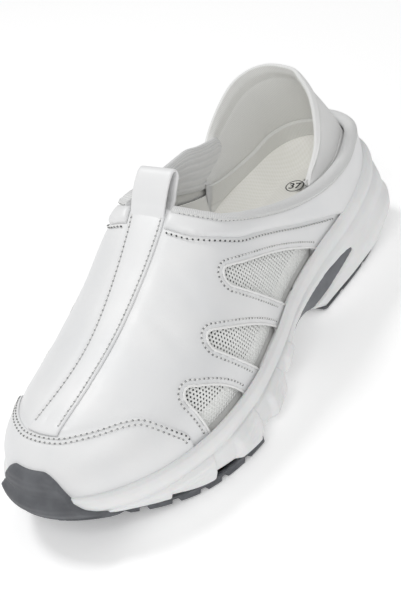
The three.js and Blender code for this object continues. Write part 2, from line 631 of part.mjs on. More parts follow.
function insole() {
  const edge = -(upperWall + meshThickness + 2 * gap);
  const flat = soleRows[8].bed;
  const cupAt = (u) => insoleCup * clamp((column("bed", u) - flat) / (1 - flat), 0, 1);
  const rings = insoleRows.map((row) =>
    stations.map((u) => {
      const height = insoleThickness * row.flat + cupAt(u) * row.cup;
      return featherAt(u).addScaledVector(outwardAt(u), edge - cupWidth * row.inset).setZ(bedAt(u) + gap + height);
    }),
  );
  return sweep(rings);
}

// Rise of the sole's underside over the floor, outside its two flat spots.
function soleRise(x) {
  const share = x / soleLength;
  const { heelFrom, heelTo, frontFrom, frontTo } = flatSpots;
  const bevel = clamp((heelFrom - share) / heelFrom, 0, 1.5) ** 2 * heelBevel;
  const toe = clamp((share - frontTo) / (1 - frontTo), 0, 1.2) ** 1.7 * toeSpring;
  const arch = clamp((share - heelTo) / (frontFrom - heelTo), 0, 1);
  return bevel + toe + archHeight * Math.sin(Math.PI * arch ** 0.75) ** 1.3;
}

// Place in the slanted lobe at x: 0 at its start, on the toe's side, and 1 at its end.
function lobePlace(x) {
  const share = x / soleLength;
  const k = lobeStarts.findIndex((start, n) => share < start && share >= (lobeStarts[n + 1] ?? 2));
  return k < 0 ? 0 : (lobeStarts[k] - share) / (lobeStarts[k] - lobeStarts[k + 1]);
}

// Stations of the midsole, with a close pair at each step between two lobes.
const soleStations = (() => {
  const near = 0.02;
  const steps = lobeStarts.map((share) => xStation(share * soleLength)).flatMap((u) => [u - near, u + near]);
  const plain = Array.from({ length: soleAround }, (_, k) => (k * loopRows) / soleAround);
  const clear = (u) => steps.every((step) => Math.abs(Math.min(u, loopRows - u) - step) > near * 8);
  const free = plain.filter(clear);
  return [...free, ...steps, ...steps.map((u) => loopRows - u)].sort((a, b) => a - b);
})();

// Loops of the sole's outside, lower edge to rim, grown sideways and downwards.
function soleLoops(side, down) {
  return sideRows.map(({ low, band, bulge, step, lobe }) =>
    soleStations.map((u) => {
      const feather = featherAt(u);
      const place = lobePlace(feather.x);
      const under = outsoleThickness + soleRise(feather.x) + lobeStep * 0.8 * place * (1 - place) * lobe;
      const groove = rimAt(u) - bandHeight * 1.35;
      const height = low < 1 ? lerp(under, groove, low) : rimAt(u) - bandHeight * band;
      const flare = column("flare", u) * sideFlare * bulge;
      const base = lerp(column("foot", u) * sideFlare, rimLip, low < 1 ? low : 1);
      const out = base + flare + bandStep * step + lobeStep * lobe * (place - 0.4 * Math.sign(place)) + side;
      const flat = outsoleThickness + soleRise(feather.x) - down;
      return feather.addScaledVector(outwardAt(u), out).setZ(low === 0 && down > 0 ? flat : height);
    }),
  );
}

// The sole's outer form, with a flat underside and, over its rim, a wall of its own height.
function soleBody(side, down, lift = 0) {
  const loops = soleLoops(side, down);
  const lifted = soleStations.map((u) =>
    featherAt(u).addScaledVector(outwardAt(u), rimLip + side).setZ(rimAt(u) + Math.max(lift, gap)));
  return sweep([...loops, lifted]);
}

const platePrism = (grow) => {
  const outline = plateRows.map((row) => new THREE.Vector2(row.x * soleLength, row.z * rimHeight));
  const moved = outline.map((point, n) => {
    const run = outline[(n + 1) % outline.length].clone().sub(outline.at(n - 1)).normalize();
    return [point.x - run.y * grow, point.y + run.x * grow];
  });
  return prism(moved, "side", -far, far);
};

// The space over the footbed in which the upper's lower edge stands.
function cupBlock() {
  const ring = (height) => stations.map((u) => surfacePoint(u, 0, gap).setZ(height(u)));
  return sweep([ring(bedAt), ring((u) => rimAt(u) + rimHeight)]);
}

function midsole() {
  const insidePoint = (u) => featherAt(u).addScaledVector(outwardAt(u), -upperWall).setZ(rimAt(u));
  const inside = soleStations.map(insidePoint);
  return sweep([...soleLoops(0, 0), inside]).subtract(cupBlock()).subtract(platePrism(gap));
}

function archPlate() {
  return soleBody(-plateInset, 0).subtract(soleFloor()).intersect(platePrism(0));
}

// Everything over the footbed, which keeps the arch plate below it.
function soleFloor() {
  const ring = (height) =>
    soleStations.map((u) => featherAt(u).addScaledVector(outwardAt(u), sideFlare * 2).setZ(height(u)));
  return sweep([ring((u) => bedAt(u) - outsoleThickness), ring(() => far)]);
}

// Everything under the midsole's underside, lowered by a clearance.
function underBlock(lower) {
  const steps = 60;
  const edge = Array.from({ length: steps + 1 }, (_, n) => {
    const x = lerp(-0.1, 1.1, n / steps) * soleLength;
    return [x, outsoleThickness + soleRise(x) - lower];
  });
  const under = [[1.1 * soleLength, -far], [-0.1 * soleLength, -far], ...edge];
  return prism(under, "side", -far, far);
}

// Grooves across one pad, each as deep as tackDepth over the sole's own rise.
function grooves(shares) {
  return shares.map((share) => {
    const x = share * soleLength;
    const top = soleRise(x) + tackDepth;
    const half = tackWidth / 2;
    const outline = [[x - half, -far], [x + half, -far], [x + half, top], [x - half, top]];
    return prism(outline, "side", -far, far);
  });
}

// The bumper's outline in front view, carried back along the shoe.
function bumperBlock() {
  const tip = ridgeAt(rowsPerSide).y;
  const half = bumperRows.map((row) => [row.y * ballWidth, row.z * bumperHeight]);
  const outline = [...half.map(([y, z]) => [-y, z]).reverse(), ...half];
  const shape = new THREE.Shape(outline.map(([y, z]) => new THREE.Vector2(y + tip, z)));
  const geometry = new THREE.ExtrudeGeometry(shape, { depth: soleLength * 0.3, bevelEnabled: false });
  const [across, up, along] = [[0, 1, 0], [0, 0, 1], [1, 0, 0]].map((axis) => new THREE.Vector3(...axis));
  geometry.applyMatrix4(new THREE.Matrix4().makeBasis(across, up, along));
  geometry.translate(soleLength * 0.86, 0, 0);
  return solidOf(geometry);
}

function outsoleFront() {
  const rear = frontPad.edge * soleLength;
  const middle = frontPad.middle * soleLength;
  const front = frontPad.toe * soleLength;
  const wide = ballWidth * 0.62;
  const arc = Array.from({ length: 9 }, (_, n) => {
    const t = n / 4 - 1;
    return [lerp(middle, rear, t * t), t * wide];
  });
  const area = prism([...arc, [front, wide], [front, -wide]].reverse(), "plan", -far, far);
  const plate = soleBody(gap, outsoleThickness).intersect(underBlock(gap)).intersect(area);
  const bumper = soleBody(bumperThickness, outsoleThickness, bumperHeight).intersect(bumperBlock());
  const body = plate.add(bumper).subtract(soleBody(gap, gap, gap)).subtract(form(overlayThickness + 2 * gap));
  return grooves(frontGrooves).reduce((solid, groove) => solid.subtract(groove), body);
}

function outsoleHeel() {
  const back = heelPad.back * soleLength;
  const front = heelPad.front * soleLength;
  const area = prism([[back, -far], [front, -far], [front, far], [back, far]], "plan", -far, far);
  const plate = soleBody(gap, outsoleThickness).intersect(underBlock(gap)).intersect(area);
  const body = plate.subtract(platePrism(gap));
  return grooves(heelGrooves).reduce((solid, groove) => solid.subtract(groove), body);
}

// A named mesh of one solid in its own material.
function piece(name, solid, color, roughness) {
  const { vertProperties, triVerts, numProp } = solid.getMesh();
  const geometry = new THREE.BufferGeometry();
  const positions = new Float32Array((vertProperties.length / numProp) * 3);
  for (let n = 0; n < positions.length / 3; n++) {
    for (let c = 0; c < 3; c++) positions[n * 3 + c] = vertProperties[n * numProp + c];
  }
  geometry.setAttribute("position", new THREE.BufferAttribute(positions, 3));
  geometry.setIndex(new THREE.BufferAttribute(new Uint32Array(triVerts), 1));
  geometry.computeVertexNormals();
  const mesh = new THREE.Mesh(geometry, new THREE.MeshStandardMaterial({ color, roughness, metalness: 0 }));
  mesh.name = name;
  return mesh;
}

const white = "#f2f2f0";
const shoe = new THREE.Group();
shoe.add(
  piece("outsole_front", outsoleFront(), "#77797b", 0.75),
  piece("outsole_heel", outsoleHeel(), "#77797b", 0.75),
  piece("midsole", midsole(), "#f4f4f3", 0.6),
  piece("arch_plate", archPlate(), "#8d8f93", 0.4),
  piece("insole", insole(), "#efece2", 0.9),
  piece("upper", upper(), white, 0.5),
  piece("toe_cap", toeCap(), white, 0.5),
  piece("vamp_strip", vampStrip(), white, 0.5),
  piece("collar_band", collarBand(), white, 0.5),
  piece("topline_binding", toplineBinding(), "#e6e6e2", 0.9),
  piece("heel_collar", heelCollar(), white, 0.6),
  piece("pull_loop", pullLoop(), white, 0.55),
  piece("mesh_panel_outer", meshPanel(1), "#e9e9e6", 0.9),
  piece("mesh_panel_inner", meshPanel(-1), "#e9e9e6", 0.9),
);

// The origin is on the floor, under the middle of the shoe.
const box = new THREE.Box3().setFromObject(shoe);
const centre = box.getCenter(new THREE.Vector3());
shoe.position.set(-centre.x, -centre.y, -box.min.z);

export default shoe;
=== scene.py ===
import math

import bmesh
import bpy
import numpy as np
from mathutils import Matrix, Vector


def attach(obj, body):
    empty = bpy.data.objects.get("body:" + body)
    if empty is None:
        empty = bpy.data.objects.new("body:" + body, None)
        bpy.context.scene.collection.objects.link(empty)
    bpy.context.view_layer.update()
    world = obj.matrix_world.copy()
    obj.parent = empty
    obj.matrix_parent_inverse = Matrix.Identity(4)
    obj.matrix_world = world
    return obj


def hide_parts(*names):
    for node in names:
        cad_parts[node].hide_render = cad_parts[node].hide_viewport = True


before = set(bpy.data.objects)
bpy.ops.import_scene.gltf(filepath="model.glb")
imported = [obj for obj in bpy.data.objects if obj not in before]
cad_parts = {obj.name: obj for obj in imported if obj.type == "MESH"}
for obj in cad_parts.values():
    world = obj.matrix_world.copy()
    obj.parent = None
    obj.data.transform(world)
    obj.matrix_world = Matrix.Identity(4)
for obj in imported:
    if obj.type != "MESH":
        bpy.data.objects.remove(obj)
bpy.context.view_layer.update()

MM = 0.001

# Sizes of the last and the sole, in millimetres
SOLE_LENGTH = 258.0
BALL_WIDTH = 88.0
INSTEP_HEIGHT = 92.0
RIM_HEIGHT = 44.0
FOOTBED_HEIGHT = 34.0
RIM_LIP = 2.6
SIDE_FLARE = 9.0
BAND_HEIGHT = 6.5
OUTSOLE = 4.2
ARCH_HEIGHT = 9.0
TOE_SPRING = 14.0
HEEL_BEVEL = 3.0
BUMPER_HEIGHT = 38.0
GAP = 0.35

# Sizes of the cloth and leather pieces, in millimetres
UPPER_WALL = 1.8
BINDING = 2.2
BINDING_DEPTH = 3.4
COLLAR_THICKNESS = 3.2
COLLAR_TUCK = 9.0
COLLAR_BOW = 0.34
INSOLE = 5.0
INSOLE_CUP = 13.0
LOOP_THICKNESS = 1.8
LOOP_LAP = 8.0
LOOP_RISE = 12.2
LOOP_LEAN = 12.0
THROAT_X = 0.549 * SOLE_LENGTH
WINDOW_RADIUS = 4.7
WINDOW_BULGE = 2.6

# Middle of the shoe's box in the last's own coordinates, where the frame has its origin
MIDDLE = np.array([126.322, 1.836, 0.0])


def table(names, *rows):
    """Columns of numbers by name, from rows of one section each."""
    return dict(zip(names.split(), np.array(rows).T))


# Sections of the last from the heel's back to the toe's tip. lx, mx: outer and inner feather point, shares
# of the length; ly, my: of the width; rx, ry, rz: ridge over them; sq: squareness of the section.
LAST = table(
    "lx ly mx my rx ry rz sq",
    (0.016, 0, 0.016, 0, 0.19, 0, 1.22, 1.7),
    (0.039, 0.195, 0.039, -0.184, 0.194, 0, 1.22, 1.75),
    (0.101, 0.306, 0.101, -0.295, 0.205, 0, 1.21, 1.95),
    (0.202, 0.351, 0.202, -0.334, 0.245, 0, 1.19, 2.25),
    (0.326, 0.356, 0.326, -0.327, 0.326, 0, 1.14, 2.35),
    (0.434, 0.39, 0.434, -0.37, 0.434, -0.006, 1.08, 2.25),
    (0.543, 0.468, 0.543, -0.44, 0.543, -0.011, 0.99, 2.15),
    (0.651, 0.518, 0.651, -0.475, 0.651, -0.011, 0.825, 2.15),
    (0.76, 0.507, 0.76, -0.478, 0.755, -0.017, 0.685, 2.25),
    (0.853, 0.423, 0.853, -0.432, 0.83, -0.028, 0.6, 2.4),
    (0.922, 0.284, 0.922, -0.34, 0.875, -0.039, 0.555, 2.5),
    (0.961, 0.122, 0.961, -0.206, 0.893, -0.05, 0.535, 2.5),
    (0.974, -0.05, 0.974, -0.05, 0.897, -0.05, 0.53, 2.5),
)

# The sole at the same sections. rim and bed: shares of their heights; foot: lower edge outside the
# feather line; flare: bulge over that; both shares of the side's flare.
SOLE = table(
    "rim bed foot flare",
    (1.18, 1, 0, 0.9),
    (1.15, 1, 0, 0.95),
    (1.02, 0.985, 0, 0.8),
    (0.895, 0.955, -0.05, 0.42),
    (0.81, 0.9, -0.05, 0.22),
    (0.74, 0.795, -0.1, 0.2),
    (0.67, 0.66, 0.15, 0.25),
    (0.61, 0.545, 0.45, 0.25),
    (0.585, 0.5, 0.15, 0.25),
    (0.58, 0.515, -0.4, 0.25),
    (0.59, 0.56, -0.65, 0.22),
    (0.6, 0.59, -0.7, 0.2),
    (0.61, 0.6, -0.7, 0.2),
)

# Topline in side view, heel to throat: shares of the length and of the instep height
TOPLINE = np.array([
    (-0.1, 0.69), (0.02, 0.685), (0.109, 0.668), (0.153, 0.642), (0.202, 0.638), (0.259, 0.651),
    (0.323, 0.69), (0.383, 0.748), (0.435, 0.808), (0.478, 0.862), (0.509, 0.905), (0.528, 0.948),
    (0.54, 0.979), (0.549, 1.01), (0.556, 1.05),
])

# Seam under the collar band in side view, in the same shares
BAND_SEAM = np.array([
    (0.15, 0.28), (0.225, 0.425), (0.283, 0.502), (0.346, 0.586), (0.405, 0.672), (0.459, 0.745),
    (0.504, 0.798), (0.536, 0.852), (0.559, 0.89), (0.572, 0.92), (0.58, 1.0),
])

# Toe cap's edge in plan, outer side to inner side: shares of the length and of the width
CAP_EDGE = np.array([
    (0.772, 0.62), (0.792, 0.5), (0.812, 0.452), (0.825, 0.409), (0.839, 0.342), (0.86, 0.278),
    (0.883, 0.213), (0.903, 0.14), (0.918, 0.061), (0.924, -0.03), (0.922, -0.12), (0.912, -0.19),
    (0.893, -0.265), (0.868, -0.33), (0.842, -0.39), (0.822, -0.45), (0.808, -0.53), (0.8, -0.64),
])

# Centre strip in plan: x, middle and width
STRIP = table(
    "x y w",
    (0.535, -0.058, 0.216),
    (0.585, -0.031, 0.204),
    (0.647, -0.012, 0.184),
    (0.7, 0.003, 0.166),
    (0.75, 0.01, 0.152),
    (0.8, 0.005, 0.146),
    (0.86, -0.016, 0.156),
    (0.93, -0.05, 0.176),
)

# Mesh windows in side view: middle of the round end, and the two ends at the rim
WINDOWS = {
    "rear": dict(nose=(0.565, 0.709), rear=0.3, front=0.455),
    "middle": dict(nose=(0.665, 0.565), rear=0.505, front=0.607),
    "front": dict(nose=(0.757, 0.455), rear=0.66, front=0.763),
}

# Top edge of the heel collar, back to front: outer side x, y, z, inner side x, y, z
COLLAR = table(
    "ox oy oz ix iy iz",
    (0.099, 0, 1.055, 0.099, 0, 1.055),
    (0.11, 0.068, 1.025, 0.102, -0.142, 1.072),
    (0.124, 0.136, 0.952, 0.134, -0.23, 1.068),
    (0.149, 0.188, 0.855, 0.18, -0.28, 1.022),
    (0.186, 0.228, 0.742, 0.242, -0.325, 0.872),
    (0.25, 0.262, 0.66, 0.312, -0.3, 0.7),
)
# Stations at which the collar ends, on the outer and on the inner side
COLLAR_ENDS = (3.5, 3.9)

# Arch plate in side view: shares of the length and of the rim's height
PLATE = np.array([
    (0.218, 0.44), (0.221, 0.475), (0.232, 0.502), (0.25, 0.512), (0.275, 0.512), (0.321, 0.502),
    (0.386, 0.475), (0.43, 0.452), (0.46, 0.43), (0.48, 0.36), (0.49, 0.2), (0.48, 0.1), (0.365, 0.1),
    (0.352, 0.222), (0.306, 0.268), (0.267, 0.33), (0.235, 0.39), (0.222, 0.415),
])

# Toe bumper in front view: distance from the tip, share of the width, and share of its height
BUMPER = np.array([
    (0.0, 1.0), (0.088, 1.0), (0.115, 0.972), (0.137, 0.926), (0.156, 0.855), (0.185, 0.7),
    (0.23, 0.58), (0.31, 0.42), (0.4, 0.11),
])

ROWS = len(LAST["lx"]) - 1
LOOP = 2 * ROWS


# The last as a surface

def around(outer, inner=None):
    """A column's values once round the loop: outer side to the toe, inner side back."""
    other = outer if inner is None else inner
    return np.concatenate([outer, other[-2:0:-1]])


# The instep stands fuller on the inner side, near the throat
INNER_FULLNESS = np.array([0, 0, 0, 0, 0.15, 0.5, 0.9, 0.25, -0.12, -0.1, 0, 0, 0])

COLUMNS = {
    "x": around(LAST["lx"], LAST["mx"]) * SOLE_LENGTH,
    "y": around(LAST["ly"], LAST["my"]) * BALL_WIDTH,
    "rx": around(LAST["rx"]) * SOLE_LENGTH,
    "ry": around(LAST["ry"]) * BALL_WIDTH,
    "rz": around(LAST["rz"]) * INSTEP_HEIGHT,
    "sq": around(LAST["sq"], LAST["sq"] + INNER_FULLNESS),
    "rim": around(SOLE["rim"]) * RIM_HEIGHT,
    "bed": around(SOLE["bed"]) * FOOTBED_HEIGHT,
    "cup": around(SOLE["bed"]),
    "foot": around(SOLE["foot"]) * SIDE_FLARE,
    "flare": around(SOLE["flare"]) * SIDE_FLARE,
}


def spline(a, b, c, d, t):
    """Catmull-Rom value between b and c."""
    return 0.5 * (2 * b + (c - a) * t + (2 * a - 5 * b + 4 * c - d) * t**2 + (3 * b - a - 3 * c + d) * t**3)


def column(name, u):
    """Smooth value of one column round the loop."""
    values = COLUMNS[name]
    k = np.floor(u).astype(int)
    a, b, c, d = (values[(k + n) % LOOP] for n in (-1, 0, 1, 2))
    return spline(a, b, c, d, u - k)


def open_spline(keys, values, at):
    """Smooth value of an open table whose keys rise."""
    at = np.asarray(at, float)
    k = np.clip(np.searchsorted(keys, at) - 1, 0, len(keys) - 2)
    t = np.clip((at - keys[k]) / (keys[k + 1] - keys[k]), 0, 1)
    a, b, c, d = (values[np.clip(k + n, 0, len(keys) - 1)] for n in (-1, 0, 1, 2))
    return spline(a, b, c, d, t)


def smooth_curve(points, pieces):
    """A smooth open line through points of any number of coordinates."""
    points = np.asarray(points, float)
    keys = np.arange(len(points), dtype=float)
    at = np.linspace(0, len(points) - 1, pieces)
    return np.stack([open_spline(keys, points[:, n], at) for n in range(points.shape[1])], 1)


def unit(vectors):
    return vectors / np.maximum(np.linalg.norm(vectors, axis=-1, keepdims=True), 1e-12)


def stack(*parts):
    return np.stack(np.broadcast_arrays(*parts), -1)


def smooth(t):
    """0 to 1 with soft ends."""
    t = np.clip(t, 0, 1)
    return t * t * (3 - 2 * t)


def bisect(holds, low, high):
    """Where a test stops holding between low and high, entry by entry."""
    for _ in range(40):
        middle = (low + high) / 2
        test = holds(middle)
        low, high = np.where(test, middle, low), np.where(test, high, middle)
    return low


# How steeply the last falls from the ridge towards the toe, in mm of height to 1 mm of length
RIDGE_SLOPE = -0.32


def last_point(u, v):
    """Point of the last: v is 0 at the feather line and 1 on the ridge.

    Over 1 it lies on the other side, and below 0 straight down from the feather line.
    """
    u, v = np.broadcast_arrays(np.asarray(u, float), np.asarray(v, float))
    over = v > 1
    u = np.where(over, LOOP - u, u)
    v = np.where(over, 2 - v, v)
    foot = stack(column("x", u), column("y", u), column("rim", u))
    top = stack(column("rx", u), column("ry", u), column("rz", u))
    power = 2 / column("sq", u)
    angle = np.maximum(v, 0) * math.pi / 2
    spread = np.power(np.maximum(np.cos(angle), 0), power)
    rise = np.power(np.maximum(np.sin(angle), 0), power)
    fall = RIDGE_SLOPE * np.maximum(foot[..., 0] - top[..., 0], 0)
    point = top + (foot - top) * spread[..., None]
    height = top[..., 2] + fall * spread - (top[..., 2] + fall - foot[..., 2]) * (1 - rise)
    point[..., 2] = np.where(v < 0, foot[..., 2] + v * INSTEP_HEIGHT, height)
    return point


def last_normal(u, v, step=0.01):
    along = last_point(u + step, v) - last_point(u - step, v)
    up = last_point(u, v + step) - last_point(u, v - step)
    return unit(np.cross(up, along))


def surface(u, v, offset=0.0):
    offset = np.asarray(offset, float)
    return last_point(u, v) + last_normal(u, v) * offset[..., None]


def feather(u):
    return stack(column("x", u), column("y", u), column("rim", u))


def outward(u, step=0.02):
    """Level direction away from the sole's middle at the feather line."""
    run = feather(u + step) - feather(u - step)
    return unit(stack(-run[..., 1], run[..., 0], 0 * run[..., 0]))


def station(x, side=1):
    """Loop parameter at which the feather line of one side is at x."""
    x = np.asarray(x, float)
    rear, tip = np.zeros_like(x), np.full_like(x, ROWS)
    u = bisect(lambda u: column("x", u if side > 0 else LOOP - u) < x, rear, tip)
    return u if side > 0 else LOOP - u


def topline(x):
    return open_spline(TOPLINE[:, 0] * SOLE_LENGTH, TOPLINE[:, 1] * INSTEP_HEIGHT, x)


def ridge_height(x):
    return open_spline(LAST["rx"] * SOLE_LENGTH, LAST["rz"] * INSTEP_HEIGHT, x)


def topline_level(u, drop=0.0):
    """Level of the last at u that is a drop under the topline."""

    def under(v):
        point = last_point(u, v)
        return point[..., 2] < topline(point[..., 0]) - drop

    return bisect(under, np.zeros_like(u), np.ones_like(u))


def slopes(u, v, step=1e-3):
    """A point of the last, and how it moves with u and with v."""
    here = last_point(u, v)
    return here, (last_point(u + step, v) - here) / step, (last_point(u, v + step) - here) / step


def find(points, view, side):
    """(u, v) of the last at places given in side view (x, z) or in plan (x, y), on one side."""
    axes = (0, 2) if view == "side" else (0, 1)
    points = np.asarray(points, float)
    u = station(np.clip(points[:, 0], 5, 250), side)
    v = np.full(len(points), 0.45 if view == "side" else 0.7)
    for _ in range(30):
        here, du, dv = (part[:, axes] for part in slopes(u, v))
        miss = points - here
        det = du[:, 0] * dv[:, 1] - du[:, 1] * dv[:, 0]
        det = np.where(np.abs(det) < 1e-6, 1e-6, det)
        u = u + np.clip((miss[:, 0] * dv[:, 1] - miss[:, 1] * dv[:, 0]) / det, -0.4, 0.4)
        climb = np.clip((du[:, 0] * miss[:, 1] - du[:, 1] * miss[:, 0]) / det, -0.12, 0.12)
        v = np.clip(v + climb, -0.08, 1.9)
    return np.stack([u, v], 1)


def shifted(uv, distance):
    """A seam on the last moved to its left by a distance along the surface."""
    u, v = uv[:, 0].copy(), uv[:, 1].copy()
    at = last_point(u, v)
    goal = at + np.cross(last_normal(u, v), unit(np.gradient(at, axis=0))) * distance
    for _ in range(8):
        here, du, dv = slopes(u, v)
        miss = goal - here
        a, b, c = (du * du).sum(1), (du * dv).sum(1), (dv * dv).sum(1)
        p, q = (du * miss).sum(1), (dv * miss).sum(1)
        det = np.maximum(a * c - b * b, 1e-9)
        u = u + np.clip((p * c - q * b) / det, -0.3, 0.3)
        v = v + np.clip((a * q - b * p) / det, -0.1, 0.1)
    return np.stack([u, v], 1)


# Regions of the upper, as signed distances in side view or plan

def edge_distance(points, outline):
    """Distance of 2-D points to a closed outline."""
    flat = points.reshape(-1, 2)
    best = np.full(len(flat), 1e9)
    for a, b in zip(outline, np.roll(outline, -1, 0)):
        run = b - a
        t = np.clip(((flat - a) @ run) / max(run @ run, 1e-12), 0, 1)
        best = np.minimum(best, np.linalg.norm(flat - a - t[:, None] * run, axis=1))
    return best.reshape(points.shape[:-1])


def inside(points, outline):
    """Whether 2-D points lie inside a closed outline."""
    flat = points.reshape(-1, 2)
    result = np.zeros(len(flat), bool)
    for (ax, ay), (bx, by) in zip(outline, np.roll(outline, -1, 0)):
        crosses = (ay > flat[:, 1]) != (by > flat[:, 1])
        if not crosses.any():
            continue
        x = ax + (flat[:, 1] - ay) / (by - ay + 1e-12) * (bx - ax)
        result ^= crosses & (flat[:, 0] < x)
    return result.reshape(points.shape[:-1])


def region(outline, view):
    """Signed distance to a closed outline, positive inside it."""
    axes = [0, 2] if view == "side" else [0, 1]
    outline = np.asarray(outline, float)

    def distance(points):
        flat = points[..., axes]
        return edge_distance(flat, outline) * np.where(inside(flat, outline), 1, -1)

    return distance


def clear_of(*cuts):
    return lambda points: np.minimum.reduce([-cut(points) for cut in cuts])


def without(base, *cuts):
    return lambda points: np.minimum(base(points), clear_of(*cuts)(points))


def moved(line, distance):
    """An open 2-D line moved to its left."""
    run = unit(np.gradient(line, axis=0))
    return line + np.stack([-run[:, 1], run[:, 0]], 1) * distance


# A distance beyond the whole shoe
FAR = 400.0


def opening(raise_by=0.0):
    """The foot's opening: all that lies over the topline."""
    edge = moved(smooth_curve(TOPLINE * (SOLE_LENGTH, INSTEP_HEIGHT), 90), raise_by)
    return region([*edge, (edge[-1][0], FAR), (edge[0][0] - 1, FAR)], "side")


def window_outline(name):
    """A window's outline in side view, from its rear end at the rim round the nose to its front end."""
    row = WINDOWS[name]
    nose = np.array(row["nose"]) * (SOLE_LENGTH, INSTEP_HEIGHT)
    hidden = 3.0
    ends = []
    for share in (row["rear"], row["front"]):
        x = share * SOLE_LENGTH
        ends.append(np.array([x, float(column("rim", station(x))) - hidden]))

    def tangent(end, side):
        away = end - nose
        turn = math.acos(WINDOW_RADIUS / np.linalg.norm(away))
        return math.atan2(away[1], away[0]) + side * turn

    start = tangent(ends[0], -1)
    stop = tangent(ends[1], 1)
    while stop > start:
        stop -= 2 * math.pi
    angles = np.linspace(start, stop, 21)
    arc = nose + WINDOW_RADIUS * np.stack([np.cos(angles), np.sin(angles)], 1)
    t = np.linspace(0, 1, 13)[1:-1, None]
    run = arc[0] - ends[0]
    bow = unit(np.array([-run[1], run[0]]))
    long_edge = ends[0] + run * t + bow * WINDOW_BULGE * 4 * t * (1 - t)
    short_edge = arc[-1] + (ends[1] - arc[-1]) * np.linspace(0, 1, 9)[1:, None]
    return np.concatenate([[ends[0]], long_edge, arc, short_edge])


def strip_edges(x, margin=0.0):
    """Inner and outer edge of the centre strip at x, in plan."""
    keys = STRIP["x"] * SOLE_LENGTH
    middle = open_spline(keys, STRIP["y"] * BALL_WIDTH, x)
    half = open_spline(keys, STRIP["w"] * BALL_WIDTH, x) / 2 + margin
    return middle - half, middle + half


def strip_region(start, stop, margin=0.0):
    x = np.linspace(start, stop, 40)
    low, high = strip_edges(x, margin)
    return region(np.concatenate([np.stack([x, low], 1), np.stack([x, high], 1)[::-1]]), "plan")


def cap_region(margin=0.0):
    """The toe cap and a margin behind it."""
    edge = smooth_curve(CAP_EDGE * (SOLE_LENGTH, BALL_WIDTH), 90) - (margin, 0)
    return region([*edge, (FAR, edge[-1][1]), (FAR, edge[0][1])], "plan")


def band_region():
    """All that lies behind and over the seam under the collar band."""
    seam = smooth_curve(BAND_SEAM * (SOLE_LENGTH, INSTEP_HEIGHT), 70)
    return region([(-FAR, -FAR), (seam[0][0], -FAR), *seam, (seam[-1][0], FAR), (-FAR, FAR)], "side")


# Meshes

def to_frame(points):
    return (np.asarray(points, float) - MIDDLE) * MM


def piece(name, points, faces, materials, slots=None, smooth=True):
    """A mesh object in the frame from points in the shoe's millimetres."""
    mesh = bpy.data.meshes.new(name)
    mesh.from_pydata(to_frame(points).tolist(), [], [list(map(int, face)) for face in faces])
    mesh.validate()
    for material in materials:
        mesh.materials.append(material)
    if slots is not None:
        mesh.polygons.foreach_set("material_index", np.asarray(slots, int))
    mesh.polygons.foreach_set("use_smooth", [smooth] * len(mesh.polygons))
    mesh.update()
    obj = bpy.data.objects.new(name, mesh)
    bpy.context.scene.collection.objects.link(obj)
    return obj


def fix_normals(obj, weld=0.0):
    """Faces of a closed mesh turned out, after corners closer than weld are made one."""
    work = bmesh.new()
    work.from_mesh(obj.data)
    if weld:
        bmesh.ops.remove_doubles(work, verts=work.verts, dist=weld)
    bmesh.ops.recalc_face_normals(work, faces=work.faces)
    work.to_mesh(obj.data)
    work.free()
    return obj


def grid_faces(rows, across, wrap_rows=False, wrap_across=False):
    """Four-sided faces of a grid of points, closed on itself one way or both."""
    r = np.arange(rows if wrap_rows else rows - 1)
    c = np.arange(across if wrap_across else across - 1)
    r, c = (part.ravel() for part in np.meshgrid(r, c, indexing="ij"))
    r2, c2 = (r + 1) % rows, (c + 1) % across
    return np.stack([r * across + c, r2 * across + c, r2 * across + c2, r * across + c2], 1)


def swept(name, loops, materials):
    """A closed solid through loops of equal length, which close on themselves."""
    loops = np.asarray(loops)
    rows, across = loops.shape[:2]
    faces = grid_faces(rows, across, wrap_across=True).tolist()
    for middle, start in ((rows * across, 0), (rows * across + 1, (rows - 1) * across)):
        faces += [[start + k, start + (k + 1) % across, middle] for k in range(across)]
    points = np.concatenate([loops.reshape(-1, 3), [loops[0].mean(0), loops[-1].mean(0)]])
    return fix_normals(piece(name, points, faces, materials))


def layer(name, face, back, rings, materials):
    """A closed layer between two sheets of the same faces, with a skirt along their free edges."""
    count = len(face)
    edges = dict.fromkeys((n, ring[(k + 1) % len(ring)]) for ring in rings for k, n in enumerate(ring))
    skirt = [(b, a, a + count, b + count) for a, b in edges if (b, a) not in edges]
    below = [[n + count for n in reversed(ring)] for ring in rings]
    slots = [0] * len(rings) + [len(materials) - 1] * len(below) + [0] * len(skirt)
    return fix_normals(piece(name, np.concatenate([face, back]), rings + below + skirt, materials, slots))


